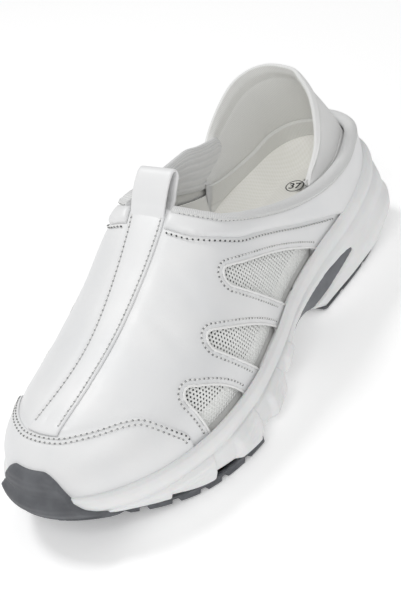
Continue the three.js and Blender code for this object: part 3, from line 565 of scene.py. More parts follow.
def patch(name, keep, low, high, materials, cells, turns=(0, LOOP), relief=None, round_edge=0.0):
    """A layer of the upper between two offsets, kept where keep(points) is positive.

    cells: how many faces round the loop and up the wall; turns: the part of the loop that is covered;
    relief: mm added to the outer offset; round_edge: mm over which the layer rises from its edge.
    """
    us = np.linspace(*turns, cells[0] + 1)
    start = -(column("rim", us) - column("bed", us) - GAP) / INSTEP_HEIGHT
    v = start[:, None] + (1 - start[:, None]) * np.linspace(0, 1, cells[1] + 1)
    u = np.broadcast_to(us[:, None], v.shape).copy()
    value = keep(last_point(u, v))
    quads = grid_faces(*u.shape)
    quads = quads[(value.ravel()[quads] > 0).any(1)]
    used = np.unique(quads)
    u, v, value = u.ravel(), v.ravel(), value.ravel()
    # Corners just outside the region are drawn onto its edge
    loose = used[value[used] < 0]
    step = 2e-3
    for _ in range(5):
        lu, lv = u[loose], v[loose]
        here, du, dv = slopes(lu, lv, step)
        f = keep(here)
        fu = (keep(last_point(lu + step, lv)) - f) / step
        fv = (keep(last_point(lu, lv + step)) - f) / step
        a, c = np.maximum((du * du).sum(1), 1e-6), np.maximum((dv * dv).sum(1), 1e-6)
        size = np.maximum(fu**2 / a + fv**2 / c, 1e-6)
        u[loose] = lu - np.clip(f * fu / a / size, -0.12, 0.12)
        v[loose] = lv - np.clip(f * fv / c / size, -0.03, 0.03)
    # Corners that fall together, as on the ridge, become one
    base, normal = last_point(u[used], v[used]), last_normal(u[used], v[used])
    _, index, back = np.unique(np.round(base, 3), axis=0, return_index=True, return_inverse=True)
    number = np.full(len(u), -1)
    number[used] = back.reshape(-1)
    rings = []
    for face in number[quads].tolist():
        ring = [n for k, n in enumerate(face) if n != face[k - 1]]
        if len(set(ring)) == len(ring) > 2:
            rings.append(ring)
    base, normal = base[index], normal[index]
    lift = np.full(len(base), float(high))
    if relief is not None:
        lift = lift + relief(base)
    if round_edge > 0:
        share = np.clip(keep(base) / round_edge, 0, 1)
        lift = low + (lift - low) * (0.25 + 0.75 * np.sqrt(np.maximum(1 - (1 - share) ** 2, 0)))
    return layer(name, base + normal * lift[:, None], base + normal * low, rings, materials)


# Seams and stitches

def arc_length(points):
    return np.concatenate([[0], np.cumsum(np.linalg.norm(np.diff(points, axis=0), axis=1))])


def resampled(uv, pitch):
    """A seam's (u, v) at even steps along the surface."""
    length = arc_length(last_point(uv[:, 0], uv[:, 1]))
    count = max(int(round(length[-1] / pitch)), 1)
    at = np.linspace(0, length[-1], count + 1)
    return np.stack([np.interp(at, length, uv[:, 0]), np.interp(at, length, uv[:, 1])], 1)


def capsule(length, radius, flat):
    """Points and faces of one laid stitch: a thread that dives into the leather at both ends."""
    turns = np.linspace(0, 2 * math.pi, 8, endpoint=False)
    rings = []
    for along, wide in ((-0.5, 0.45), (-0.36, 0.95), (0.0, 1.0), (0.36, 0.95), (0.5, 0.45)):
        lift = radius * (0.55 if abs(along) < 0.4 else -0.25)
        ring = np.stack([np.full(8, along * length), radius * wide * np.cos(turns),
                         radius * flat * wide * np.sin(turns) + lift], 1)
        rings.append(ring)
    faces = grid_faces(5, 8, False, True).tolist() + [list(range(7, -1, -1)), list(range(32, 40))]
    return np.concatenate(rings), faces


def disc(radius, depth):
    """Points and faces of a needle hole: a small dark cup just proud of the leather, whose dark colour is
    painted shade in the hole.
    """
    turns = np.linspace(0, 2 * math.pi, 8, endpoint=False)
    rings = [np.stack([radius * wide * np.cos(turns), radius * wide * np.sin(turns), np.full(8, height)], 1)
             for wide, height in ((1, -depth - 0.1), (1, 0.05), (0.6, -depth))]
    faces = grid_faces(3, 8, False, True).tolist() + [list(range(7, -1, -1)), list(range(16, 24))]
    return np.concatenate(rings), faces


def scattered(name, shape, places, runs, normals, materials):
    """Copies of a small shape at places, lying along runs, as one joined mesh."""
    points, faces = shape
    runs = unit(runs - normals * (runs * normals).sum(1, keepdims=True))
    axes = np.stack([runs, np.cross(normals, runs), normals], 1)
    copies = places[:, None, :] + sum(points[None, :, n:n + 1] * axes[:, n:n + 1] for n in range(3))
    every = [[k + n * len(points) for k in face] for n in range(len(places)) for face in faces]
    return fix_normals(piece(name, copies.reshape(-1, 3), every, materials))


class Sewing:
    """Gathers the stitches and needle holes of many seams, to be made as two meshes; the needle holes are dark
    discs of painted shade.
    """

    # Radius of a thread, and radius and depth of a needle hole's disc of painted shade, in mm
    THREAD_RADIUS = 0.27
    HOLE = (0.37, 0.3)

    def __init__(self):
        self.threads = []
        self.holes = []

    def seam(self, uv, height, pitch=2.3):
        at = resampled(uv, pitch)
        u, v = at[:, 0], at[:, 1]
        holes = surface(u, v, np.full(len(u), height))
        normals = last_normal(u, v)
        runs = np.gradient(holes, axis=0)
        self.holes.append((holes, runs, normals))
        middle_u, middle_v = (u[1:] + u[:-1]) / 2, (v[1:] + v[:-1]) / 2
        middles = surface(middle_u, middle_v, np.full(len(middle_u), height))
        self.threads.append((middles, holes[1:] - holes[:-1], last_normal(middle_u, middle_v)))

    def laid(self, places, normals):
        """The same for a seam that is given by its holes in space."""
        self.holes.append((places, np.gradient(places, axis=0), normals))
        self.threads.append(((places[1:] + places[:-1]) / 2, places[1:] - places[:-1], normals[1:]))

    def make(self, name, pitch, thread_material, hole_shade_material):
        places, runs, normals = (np.concatenate(part) for part in zip(*self.threads))
        stitch = capsule(pitch * 0.58, self.THREAD_RADIUS, 0.8)
        threads = scattered(name + "_stitches", stitch, places, runs, normals, [thread_material])
        places, runs, normals = (np.concatenate(part) for part in zip(*self.holes))
        # The needle holes are dark discs of painted shade, where the holes lie in shade
        holes = scattered(name + "_needle_holes", disc(*self.HOLE), places, runs, normals, [hole_shade_material])
        return threads, holes


def column_seam(keep, u, low, high):
    """(u, v) of a region's edge, which each column of the last crosses once between two levels."""
    low, high = np.full(len(u), low), np.full(len(u), high)
    low_inside = keep(last_point(u, low)) > 0
    return np.stack([u, bisect(lambda v: (keep(last_point(u, v)) > 0) == low_inside, low, high)], 1)


# Materials

def linear(code):
    """An sRGB hex colour as linear values with alpha."""
    parts = [int(code[n:n + 2], 16) / 255 for n in (1, 3, 5)]
    return [c / 12.92 if c <= 0.04045 else ((c + 0.055) / 1.055) ** 2.4 for c in parts] + [1.0]


def add(tree, kind, inputs=None, **settings):
    """A node with its settings, values and links."""
    node = tree.nodes.new(kind)
    for name, value in settings.items():
        setattr(node, name, value)
    for name, value in (inputs or {}).items():
        if isinstance(value, bpy.types.NodeSocket):
            tree.links.new(value, node.inputs[name])
        else:
            node.inputs[name].default_value = value
    return node


def new_material(name, **values):
    """A material with its principled shader's own values set."""
    material = bpy.data.materials.new(name)
    material.use_nodes = True
    tree = material.node_tree
    shader = tree.nodes["Principled BSDF"]
    for key, value in values.items():
        shader.inputs[key.replace("_", " ").title().replace("Ior", "IOR")].default_value = value
    return material, tree, shader


def grain(tree, size_mm, detail=2.0):
    """Noise whose lumps are about size_mm across, in the shoe's own space."""
    place = add(tree, "ShaderNodeTexCoord").outputs["Object"]
    scale = 1 / (size_mm * MM)
    return add(tree, "ShaderNodeTexNoise", {"Vector": place, "Scale": scale, "Detail": detail}).outputs["Fac"]


def pebbles(tree, size_mm):
    """Distance to the edge of pebbles about size_mm across."""
    inputs = {"Vector": add(tree, "ShaderNodeTexCoord").outputs["Object"], "Scale": 1 / (size_mm * MM)}
    return add(tree, "ShaderNodeTexVoronoi", inputs, feature="DISTANCE_TO_EDGE").outputs["Distance"]


# Distance of a wave texture's bands at scale 1
BAND_STEP = math.pi / 10


def bands(tree, place, axis, step, distortion, **inputs):
    """Soft bands across one axis, a step apart in the units of the place."""
    values = {"Vector": place, "Scale": BAND_STEP / step, "Distortion": distortion, **inputs}
    return add(tree, "ShaderNodeTexWave", values, wave_type="BANDS", bands_direction=axis).outputs["Fac"]


def maths(tree, operation, a, b):
    return add(tree, "ShaderNodeMath", {0: a, 1: b}, operation=operation).outputs[0]


def ramp(tree, factor, stops):
    """Colour by a factor, from (place, hex colour) stops."""
    node = add(tree, "ShaderNodeValToRGB", {"Fac": factor})
    elements = node.color_ramp.elements
    while len(elements) < len(stops):
        elements.new(0.5)
    for element, (place, code) in zip(elements, stops):
        element.position = place
        element.color = linear(code)
    return node.outputs["Color"]


def clouded(tree, shader, size_mm, detail, dark, light):
    """Base colour that drifts between two shades, in clouds about size_mm across."""
    clouds = grain(tree, size_mm, detail)
    tree.links.new(ramp(tree, clouds, [(0.3, dark), (0.7, light)]), shader.inputs["Base Color"])
    return clouds


def uneven(tree, shader, factor, low, high):
    """Roughness that goes from low to high with a factor."""
    rough = add(tree, "ShaderNodeMapRange", {"Value": factor, "To Min": low, "To Max": high})
    tree.links.new(rough.outputs["Result"], shader.inputs["Roughness"])


def bumped(tree, shader, *layers):
    """Bump layers of (height, relief in mm), one over the other."""
    normal = None
    for height, relief_mm in layers:
        inputs = {"Height": height, "Distance": relief_mm * MM, "Strength": 1.0}
        if normal is not None:
            inputs["Normal"] = normal
        normal = add(tree, "ShaderNodeBump", inputs).outputs["Normal"]
    tree.links.new(normal, shader.inputs["Normal"])


def embossed_synthetic_leather():
    """PU-coated synthetic leather with a fine embossed pebble: an even satin sheen on a cool white."""
    material, tree, shader = new_material("embossed_synthetic_leather", roughness=0.42, ior=1.47,
                                          coat_weight=0.12, coat_roughness=0.3)
    clouds = clouded(tree, shader, 28, 3, "#EAEBEC", "#F1F1F1")
    uneven(tree, shader, grain(tree, 6), 0.36, 0.5)
    bumped(tree, shader, (clouds, 0.5), (pebbles(tree, 0.85), 0.035), (grain(tree, 0.5), 0.03))
    return material


def moulded_foam():
    """EVA foam, compression moulded: a soft skin with a faint orange peel, which takes in a little light."""
    material, tree, shader = new_material("moulded_foam", roughness=0.5, ior=1.45, subsurface_weight=0.08,
                                          subsurface_scale=0.004)
    clouded(tree, shader, 20, 3, "#EDEEEE", "#F4F4F4")
    uneven(tree, shader, grain(tree, 4), 0.44, 0.6)
    bumped(tree, shader, (grain(tree, 1.1, 3), 0.06))
    return material


def ribbed_rubber():
    """Styrene rubber, moulded with fine ribs across the tread's edge: dull and a little uneven."""
    material, tree, shader = new_material("ribbed_rubber", roughness=0.62, ior=1.52)
    place = add(tree, "ShaderNodeTexCoord").outputs["Object"]
    # Ribs 2.8 mm apart
    ribs = bands(tree, place, "Z", 2.8274 * MM, 0.6, Detail=1.0)
    clouds = clouded(tree, shader, 9, 3, "#54565A", "#6A6C70")
    uneven(tree, shader, clouds, 0.55, 0.75)
    bumped(tree, shader, (ribs, 0.22), (grain(tree, 0.6), 0.05))
    return material


def moulded_dark_plastic():
    """TPU shank plate, injection moulded: dark gray with a fine spark-eroded texture."""
    material, tree, shader = new_material("moulded_dark_plastic", roughness=0.5, ior=1.46)
    clouded(tree, shader, 7, 2, "#66686D", "#727479")
    bumped(tree, shader, (grain(tree, 0.45), 0.06))
    return material


def knit(name, light, dark, loop_mm, relief_mm):
    """Knit polyester: columns of small loops, which shade each other between the ribs."""
    material, tree, shader = new_material(name, roughness=0.85, ior=1.45, sheen_weight=0.25,
                                          sheen_roughness=0.5)
    place = add(tree, "ShaderNodeUVMap", uv_map="cloth").outputs["UV"]
    # The UVs are in mm, and a loop is 1.4 times as wide as high
    split = add(tree, "ShaderNodeMapping", {"Vector": place, "Scale": (1, 1.4, 1)}).outputs["Vector"]
    loops = maths(tree, "MULTIPLY", *(bands(tree, split, axis, loop_mm, 0.4) for axis in "XY"))
    tree.links.new(ramp(tree, loops, [(0.0, dark), (0.45, light)]), shader.inputs["Base Color"])
    bumped(tree, shader, (loops, relief_mm), (grain(tree, 0.35), 0.05))
    return material


def woven(name, light, dark, thread_mm, relief_mm):
    """Plain-woven polyester cloth with a dry matt face, cut at 32 degrees to its threads."""
    material, tree, shader = new_material(name, roughness=0.9, ior=1.45, sheen_weight=0.2,
                                          sheen_roughness=0.5)
    place = add(tree, "ShaderNodeTexCoord").outputs["Object"]
    turn = {"Vector": place, "Rotation": (0, 0, math.radians(32))}
    turned = add(tree, "ShaderNodeMapping", turn).outputs["Vector"]
    both_ways = (bands(tree, turned, axis, thread_mm * MM, 0.5) for axis in "XY")
    threads = maths(tree, "MULTIPLY", maths(tree, "ADD", *both_ways), 0.5)
    mixed = maths(tree, "MULTIPLY", threads, grain(tree, 11, 4))
    tree.links.new(ramp(tree, mixed, [(0.0, dark), (0.4, light)]), shader.inputs["Base Color"])
    bumped(tree, shader, (threads, relief_mm))
    return material


def plain(name, code, roughness, relief_mm=0.04, size_mm=0.5, **values):
    """A small part's material: one moulded or spun colour with a fine grain."""
    material, tree, shader = new_material(name, roughness=roughness, **values)
    shader.inputs["Base Color"].default_value = linear(code)
    bumped(tree, shader, (grain(tree, size_mm), relief_mm))
    return material


LEATHER = embossed_synthetic_leather()
FOAM = moulded_foam()
RUBBER = ribbed_rubber()
PLATE_PLASTIC = moulded_dark_plastic()
TAPE = knit("knit_tape", "#FAFAF9", "#DCDDDD", 0.7323, 0.2)
LINING = knit("knit_lining", "#F5F5F2", "#E2E2DF", 0.7004, 0.08)
SOFT_CLOTH = knit("brushed_collar_cloth", "#F4F4F3", "#E8E8E7", 0.6367, 0.04)
INSOLE_CLOTH = woven("insole_cloth", "#FDFCF8", "#F6F5EF", 1.38175, 0.05)
MESH_YARN = plain("mesh_yarn", "#F4F5F3", 0.75, 0.05, 0.4, sheen_weight=0.2)
# Near-black sheet behind the mesh: painted shade for the shadowed inside of the shoe, seen through the holes
PAINTED_SHADE_CLOTH = plain("dark_spacer_cloth", "#2A2B2D", 0.95, 0.1, 0.8)
WHITE_BACKING = plain("white_backing_cloth", "#EDEDEB", 0.9, 0.1, 0.8)
LINING_PLAIN = plain("lining_cloth", "#F2F2EF", 0.9, 0.08, 0.7, sheen_weight=0.15)
THREAD = plain("white_polyester_thread", "#EDEDEB", 0.6, 0.05, 0.3)
# Dark colour of the needle holes: painted shade, not a colour of the leather or the thread
PAINTED_HOLE_SHADE = plain("needle_hole", "#3A3C3F", 0.9)
INK = plain("printed_ink", "#2A2B2E", 0.6)
WINDOW_RIM = plain("welded_window_rim", "#F3F3F2", 0.42, 0.03, 0.7, coat_weight=0.1)


# Upper

# Soft flex creases over the vamp: x and y of the middle, half length across, depth, slant
CREASES = [
    (182.0, 22.0, 17.0, 0.28, 0.25),
    (176.0, -24.0, 18.0, 0.25, -0.2),
    (166.0, 27.0, 12.0, 0.16, 0.35),
    (195.0, -20.0, 12.0, 0.16, -0.3),
]


def creases(points):
    """Soft troughs where the forefoot bends, each with a low ridge on both sides."""
    total = np.zeros(points.shape[:-1])
    x, y = points[..., 0], points[..., 1]
    for cx, cy, half, depth, slant in CREASES:
        across = x - cx - slant * (y - cy)
        along = np.clip(1 - ((y - cy) / half) ** 2, 0, 1) ** 1.5
        ridges = 0.55 * np.exp(-((np.abs(across) - 6) / 3.4) ** 2)
        total += along * depth * (ridges - np.exp(-(across / 2.6) ** 2))
    return total


def near(points, line):
    """Distance of each point to a line of points in space."""
    flat = points.reshape(-1, 3)
    best = np.full(len(flat), 1e9)
    for start in range(0, len(line), 40):
        chunk = line[start:start + 40]
        best = np.minimum(best, np.linalg.norm(flat[:, None, :] - chunk[None, :, :], axis=2).min(1))
    return best.reshape(points.shape[:-1])


def drawn_down(seams, depth, width):
    """Relief of leather that is drawn down along rows of stitches."""
    rows = np.concatenate([last_point(uv[:, 0], uv[:, 1])[::2] for uv in seams])
    return lambda points: -depth * np.exp(-(near(points, rows) / width) ** 2)


SIDES = {1: "outer", -1: "inner"}
window_lines = {(name, side): find(window_outline(name), "side", side) for side in SIDES for name in WINDOWS}
window_regions = [region(window_outline(name), "side") for name in WINDOWS]

cap_uv = column_seam(cap_region(), np.linspace(8.2, 15.8, 240), 0.0, 0.999)
cap_uv = cap_uv[(cap_uv[:, 1] > 0.005) & (cap_uv[:, 1] < 0.98)]


def band_seam(side):
    """(u, v) of the seam under the collar band on one side, rim to strip."""
    curve = smooth_curve(BAND_SEAM * (SOLE_LENGTH, INSTEP_HEIGHT), 140)
    low, high = strip_edges(curve[:, 0])
    uv = find(curve, "side", side)
    at = last_point(uv[:, 0], uv[:, 1])
    edge = (high if side > 0 else low) + side * 1.0
    kept = (uv[:, 1] > 0.02) & (uv[:, 1] < 0.97) & (side * at[:, 1] > side * edge)
    return uv[kept]


def strip_seam(side, margin):
    """(u, v) along one edge of the centre strip, throat to toe cap."""
    x = np.linspace(THROAT_X + 2.5, 0.905 * SOLE_LENGTH, 90)
    low, high = strip_edges(x, margin)
    uv = find(np.stack([x, high if side > 0 else low], 1), "plan", side)
    at = last_point(uv[:, 0], uv[:, 1])
    return uv[cap_region(1.0)(at) < 0]


def above_rim(uv, clear=1.0):
    """The part of a seam that shows over the midsole's rim."""
    at = last_point(uv[:, 0], uv[:, 1])
    return uv[(at[:, 2] > column("rim", uv[:, 0]) + clear) & (uv[:, 1] > 0)]


sewing = Sewing()

# Offsets from the last, in mm: the shell's face, the seat of what is sewn onto it, and the top of each piece
OUTER_SKIN = 0.0
LAYER_LOW = 0.05
CAP_TOP = 1.15
STRIP_TOP = 0.85
BAND_TOP = 1.9

cap_seams = [above_rim(shifted(cap_uv, distance)) for distance in (1.0, 2.8)]
strip_seams = [strip_seam(side, -1.5) for side in SIDES]
band_seams = [shifted(band_seam(side), side * 1.7) for side in SIDES]
window_seams = {key: above_rim(shifted(uv, key[1] * -2.0)) for key, uv in window_lines.items()}
pulled_seams = [shifted(cap_uv, -1.0), *[strip_seam(side, 1.4) for side in SIDES], *window_seams.values()]


def upper_shell():
    """The hollow upper, open at the topline and at the six windows, in one skin with a cloth lining."""
    pull = drawn_down(pulled_seams, 0.2, 1.8)
    obj = patch("upper_leather", clear_of(opening(), *window_regions), -UPPER_WALL, OUTER_SKIN,
                [LEATHER, LINING_PLAIN], (330, 96), relief=lambda points: creases(points) + pull(points))
    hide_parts("upper")
    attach(obj, "root")
    return obj


def toe_cap():
    """Overlay over the toe, drawn down along its two rows of stitches."""
    obj = patch("toe_cap_leather", cap_region(), LAYER_LOW, CAP_TOP, [LEATHER], (220, 80), turns=(7.9, 16.1),
                relief=drawn_down(cap_seams, 0.25, 1.6), round_edge=1.0)
    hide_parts("toe_cap")
    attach(obj, "root")
    for uv in cap_seams:
        sewing.seam(uv, CAP_TOP - 0.02)
    return obj


def vamp_strip():
    """Raised strip along the middle of the vamp, which ends at the toe cap."""
    keep = without(strip_region(THROAT_X + 1.2, 0.95 * SOLE_LENGTH), cap_region(GAP))
    obj = patch("centre_strip_leather", keep, LAYER_LOW, STRIP_TOP, [LEATHER], (330, 150), turns=(5.2, 18.8),
                relief=drawn_down(strip_seams, 0.2, 1.5), round_edge=0.9)
    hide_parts("vamp_strip")
    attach(obj, "root")
    for uv in strip_seams:
        sewing.seam(uv, STRIP_TOP)
    return obj


def collar_band():
    """Padded band under the topline: full in its middle and drawn down at its seam."""
    strip = strip_region(THROAT_X - 26, 0.95 * SOLE_LENGTH, 1.0)
    obj = patch("collar_band_pad", without(band_region(), opening(-0.8), strip), LAYER_LOW, BAND_TOP,
                [LEATHER], (330, 110), relief=drawn_down(band_seams, 1.0, 2.0), round_edge=2.6)
    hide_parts("collar_band")
    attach(obj, "root")
    for uv in band_seams:
        sewing.seam(above_rim(uv), BAND_TOP - 1.2)
    return obj


# Windows and mesh

def window_rims():
    """A rounded light rim round each window, with its ends behind the midsole's rim."""
    parts = []
    angles = np.linspace(0, 2 * math.pi, 12, endpoint=False)
    profile = [(0.45 + 0.55 * math.cos(a), 0.34 * math.sin(a)) for a in angles]
    for (name, side), uv in window_lines.items():
        fine = resampled(uv, 1.1)
        at = last_point(fine[:, 0], fine[:, 1])
        normal = last_normal(fine[:, 0], fine[:, 1])
        run = unit(np.gradient(at, axis=0))
        across = np.cross(normal, run) * side
        loops = np.stack([at + across * out + normal * up for out, up in profile], 1)
        parts.append(swept(f"rim_{name}_{SIDES[side]}", loops, [WINDOW_RIM]))
        sewing.seam(window_seams[(name, side)], OUTER_SKIN + 0.06, 2.1)
    obj = joined(parts, "window_rims")
    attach(obj, "root")
    return obj


def joined(parts, name):
    """Several mesh objects of the same materials as one."""
    work = bmesh.new()
    for part in parts:
        work.from_mesh(part.data)
    mesh = bpy.data.meshes.new(name)
    work.to_mesh(mesh)
    work.free()
    for material in parts[0].data.materials:
        mesh.materials.append(material)
    for part in parts:
        bpy.data.objects.remove(part)
    mesh.polygons.foreach_set("use_smooth", [True] * len(mesh.polygons))
    obj = bpy.data.objects.new(name, mesh)
    bpy.context.scene.collection.objects.link(obj)
    return obj


# The mesh: distance of its holes, their radius, the cloth's face under the last, and its thickness, in mm
MESH_PITCH = 1.85
MESH_HOLE = 0.5
MESH_DEPTH = -UPPER_WALL - 0.35
MESH_THICKNESS = 0.45

# Part of the loop on the outer side that holds the windows, heel to toe
WALL_TURNS = (3.0, 10.5)


def girth_grid(side):
    """Tables that turn distances along the sole and up the wall into (u, v)."""
    us = np.linspace(*WALL_TURNS, 300)
    us = us if side > 0 else LOOP - us
    vs = np.linspace(0, 1, 160)
    wall = last_point(us[:, None], vs[None, :])
    steps = np.linalg.norm(np.diff(wall, axis=1), axis=2)
    heights = np.concatenate([np.zeros((len(us), 1)), np.cumsum(steps, 1)], 1)
    return us, arc_length(feather(us)), vs, heights


def wall_place(grid, a, s):
    """(u, v) at distances a along the sole and s up the wall."""
    us, along, vs, heights = grid
    u = np.interp(a, along, us)
    k = np.clip(np.searchsorted(along, a) - 1, 0, len(us) - 1)
    v = np.array([np.interp(height, heights[row], vs) for row, height in zip(k, s)])
    return u, v


def mesh_panel(side):
    """Warp-knit mesh behind the windows of one side: rows of round holes in a staggered net."""
    grid = girth_grid(side)
    row_step = MESH_PITCH * math.sqrt(3) / 2
    rows = int(62 / row_step)
    across = int(grid[1][-1] / MESH_PITCH)
    middles = np.array([(c * MESH_PITCH + (r % 2) * MESH_PITCH / 2, r * row_step - 2)
                        for r in range(rows) for c in range(across)])
    at = last_point(*wall_place(grid, middles[:, 0], middles[:, 1]))
    middles = middles[np.maximum.reduce([part(at) for part in window_regions]) > -1.6]
    corners = np.array([(math.sin(n * math.pi / 3), math.cos(n * math.pi / 3)) for n in range(6)])
    turns = np.array([(math.sin(n * math.pi / 6), math.cos(n * math.pi / 6)) for n in range(12)])
    shape = np.concatenate([corners * MESH_PITCH / math.sqrt(3), turns * MESH_HOLE])
    flat = (middles[:, None, :] + shape[None, :, :]).reshape(-1, 2)
    u, v = wall_place(grid, flat[:, 0], flat[:, 1])
    count = len(flat)
    points = [surface(u, v, np.full(count, MESH_DEPTH - down)) for down in (0.0, MESH_THICKNESS)]
    # A cell is 6 corners and a hole of 12 points, and 18 triangles lie between them
    faces = []
    for base in range(0, count, 18):
        for n in range(6):
            h0, h1 = base + n, base + (n + 1) % 6
            t = [base + 6 + (2 * n + k) % 12 for k in range(3)]
            for face in ([h0, t[0], t[1]], [h0, t[1], h1], [h1, t[1], t[2]]):
                faces.append(face)
                faces.append([k + count for k in reversed(face)])
        for n in range(12):
            a, b = base + 6 + n, base + 6 + (n + 1) % 12
            faces.append([a, b, b + count, a + count])
    obj = piece(f"knit_mesh_{SIDES[side]}", np.concatenate(points), faces, [MESH_YARN])
    fix_normals(obj, weld=0.1 * MM)
    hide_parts(f"mesh_panel_{SIDES[side]}")
    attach(obj, "root")
    return obj


def backing(side):
    """Lining of one side whose dark face behind the mesh is painted shade of the shoe's inside, and a white
    lasting strip along the rim.
    """
    wide = [region(widened(window_outline(key), 3.0), "side") for key in WINDOWS]
    turns = WALL_TURNS if side > 0 else (LOOP - WALL_TURNS[1], LOOP - WALL_TURNS[0])
    rear, front = 62.0, 0.83 * SOLE_LENGTH
    wall = region([(rear, -FAR), (front, -FAR), (front, FAR), (rear, FAR)], "side")
    lined = without(wall, opening(-BINDING_DEPTH - 1.5), strip_region(THROAT_X - 26, front, -4.0))
    # Its dark face is painted shade of the inside, seen through the mesh's holes
    dark = patch(f"spacer_cloth_{SIDES[side]}", lined, -3.3, -3.0, [PAINTED_SHADE_CLOTH, LINING_PLAIN], (150, 80),
                 turns=turns)
    strip_height = 8.5

    def low_part(points):
        """Behind the windows, up to a height over the rim."""
        u = station(points[..., 0].ravel(), side).reshape(points.shape[:-1])
        area = np.maximum.reduce([part(points) for part in wide])
        return np.minimum(area, strip_height + column("rim", u) - points[..., 2])

    white = patch(f"lasting_strip_{SIDES[side]}", low_part, -2.75, -2.32, [WHITE_BACKING], (130, 60),
                  turns=turns)
    for obj in (dark, white):
        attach(obj, "root")
    return dark, white


def widened(outline, distance):
    """A closed outline grown on all sides."""
    run = unit(np.roll(outline, -1, 0) - np.roll(outline, 1, 0))
    left = np.stack([-run[:, 1], run[:, 0]], 1)
    area = np.sum(outline[:, 0] * np.roll(outline[:, 1], -1) - np.roll(outline[:, 0], -1) * outline[:, 1])
    return outline + left * distance * (-1 if area > 0 else 1)


# Tape, heel collar and pull loop

def with_cloth_uv(obj, across_count, along, across):
    """UVs in millimetres along and across a swept cloth piece."""
    uvs = obj.data.uv_layers.new(name="cloth").data
    for polygon in obj.data.polygons:
        corners = [obj.data.loops[k].vertex_index for k in polygon.loop_indices]
        columns = [k % across_count for k in corners]
        for loop, k, c in zip(polygon.loop_indices, corners, columns):
            if k >= len(along) * across_count:
                uvs[loop].uv = (0, 0)
                continue
            # The last column meets the first again at the end of its length
            b = across[-1] + across[1] if c == 0 and max(columns) > 1 else across[c]
            uvs[loop].uv = (along[k // across_count], b)


def topline_path():
    """(u, v) along the topline from the heel to the pull loop, on the outer and on the inner side."""

    def over(u):
        top = last_point(u, 1.0)
        return top[:, 2] > topline(top[:, 0])

    end = bisect(over, np.array([4.0]), np.array([7.0]))[0] - 0.02
    # Steps grow shorter over the last 0.9 turns, where the topline climbs to the ridge
    climb = end - 0.9 * (1 - np.linspace(0, 1, 60)[1:]) ** 1.6
    bend = np.concatenate([np.linspace(0, end - 0.9, 90), climb])
    outer = np.stack([bend, topline_level(bend)], 1)
    return outer, np.stack([LOOP - bend[1:], outer[1:, 1]], 1)


def gusset_height(places):
    """How far the knit tape stands over the topline inside, between the pull loop and the collar."""
    x = places[:, 0]
    rise = 17.0 * smooth((x - 48) / 18) * (0.22 + 0.78 * smooth((126 - x) / 34))
    return np.where(places[:, 1] < 0, rise, 0.0)


def topline_tape():
    """Knit tape folded over the topline."""
    outer, inner = topline_path()
    low, high = strip_edges(THROAT_X - 2, 0.9)
    path = np.concatenate([inner[::-1], outer])
    places = last_point(path[:, 0], path[:, 1])
    keep = (places[:, 0] < THROAT_X - 12) | (places[:, 1] > high) | (places[:, 1] < low)
    path, places = path[keep], places[keep]
    normal = last_normal(path[:, 0], path[:, 1])
    run = unit(np.gradient(places, axis=0))
    across = unit(normal - run * (normal * run).sum(1, keepdims=True))
    up = np.cross(run, across)
    # Section of the tape: its outer leg, the fold over the topline, and its inner leg
    outside, inside, depth = GAP + BINDING - 0.1, -UPPER_WALL - GAP - 0.6 - BINDING / 2, BINDING_DEPTH - 0.8
    profile = smooth_curve([
        (0.1, -depth), (outside - 0.9, -depth - 0.1), (outside - 0.2, -depth * 0.8),
        (outside + 0.1, -depth * 0.45), (outside - 0.1, -0.6), (outside - 0.7, 0.7),
        (outside - 1.8, 1.6), (-0.9, BINDING - 0.4), (inside + 1.2, 1.4), (inside + 0.3, 0.5),
        (inside, -0.8), (inside + 0.1, -2.2), (inside + 0.5, -depth * 0.9),
        (-UPPER_WALL - 0.2, -depth * 0.9), (-UPPER_WALL - 0.1, -1.0), (0.05, -1.0),
    ], 40)
    stand = gusset_height(places)
    loops = []
    for out, rise in profile:
        lift = rise + stand * max(rise + 0.6, 0) / (BINDING + 0.2)
        loops.append(places + across * out + up * lift[:, None])
    loops = np.stack(loops, 1)
    obj = swept("topline_knit_tape", loops, [TAPE])
    with_cloth_uv(obj, len(profile), arc_length(places), arc_length(profile))
    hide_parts("topline_binding")
    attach(obj, "root")
    edge = places + across * (outside - 0.35) + up * (-depth * 0.86)
    length = arc_length(edge)
    at = np.arange(2, length[-1] - 2, 2.0)
    holes = np.stack([np.interp(at, length, edge[:, n]) for n in range(3)], 1)
    normals = unit(np.stack([np.interp(at, length, across[:, n]) for n in range(3)], 1))
    sewing.laid(holes, normals)
    return obj


def collar_station(t):
    """The topline's station at t, counted from the heel's back and round the loop."""
    row = np.where(t > 0, t * COLLAR_ENDS[0], -t * COLLAR_ENDS[1])
    return row, np.where(t > 0, row, LOOP - row) % LOOP


def collar_point(t, s):
    """Middle of the heel collar: t from -1, its inner end, to 1; s from its hidden foot to its top."""
    t, s = np.broadcast_arrays(np.asarray(t, float), np.asarray(s, float))
    row, u = collar_station(t)
    foot = surface(u, topline_level(row, COLLAR_TUCK), np.full(u.shape, -3.9))
    seam = surface(u, topline_level(row, 0.0), np.full(u.shape, -5.6))
    keys = np.arange(-5, 6, dtype=float)
    top = []
    for name, size in (("x", SOLE_LENGTH), ("y", BALL_WIDTH), ("z", INSTEP_HEIGHT)):
        values = np.concatenate([COLLAR["i" + name][:0:-1], COLLAR["o" + name]]) * size
        top.append(open_spline(keys, values, t * 5))
    top = np.stack(top, -1)
    share = 0.3
    rise = np.clip((s - share) / (1 - share), 0, 1)[..., None]
    height = np.linalg.norm(top - seam, axis=-1, keepdims=True)
    handle = seam + unit(seam - foot) * height * COLLAR_BOW
    a = seam + (handle - seam) * rise
    b = handle + (top - handle) * rise
    low = foot + (seam - foot) * np.clip(s / share, 0, 1)[..., None]
    return np.where((s < share)[..., None], low, a + (b - a) * rise)


def collar_normal(t):
    row, u = collar_station(t)
    return last_normal(u, topline_level(row, 0.0))


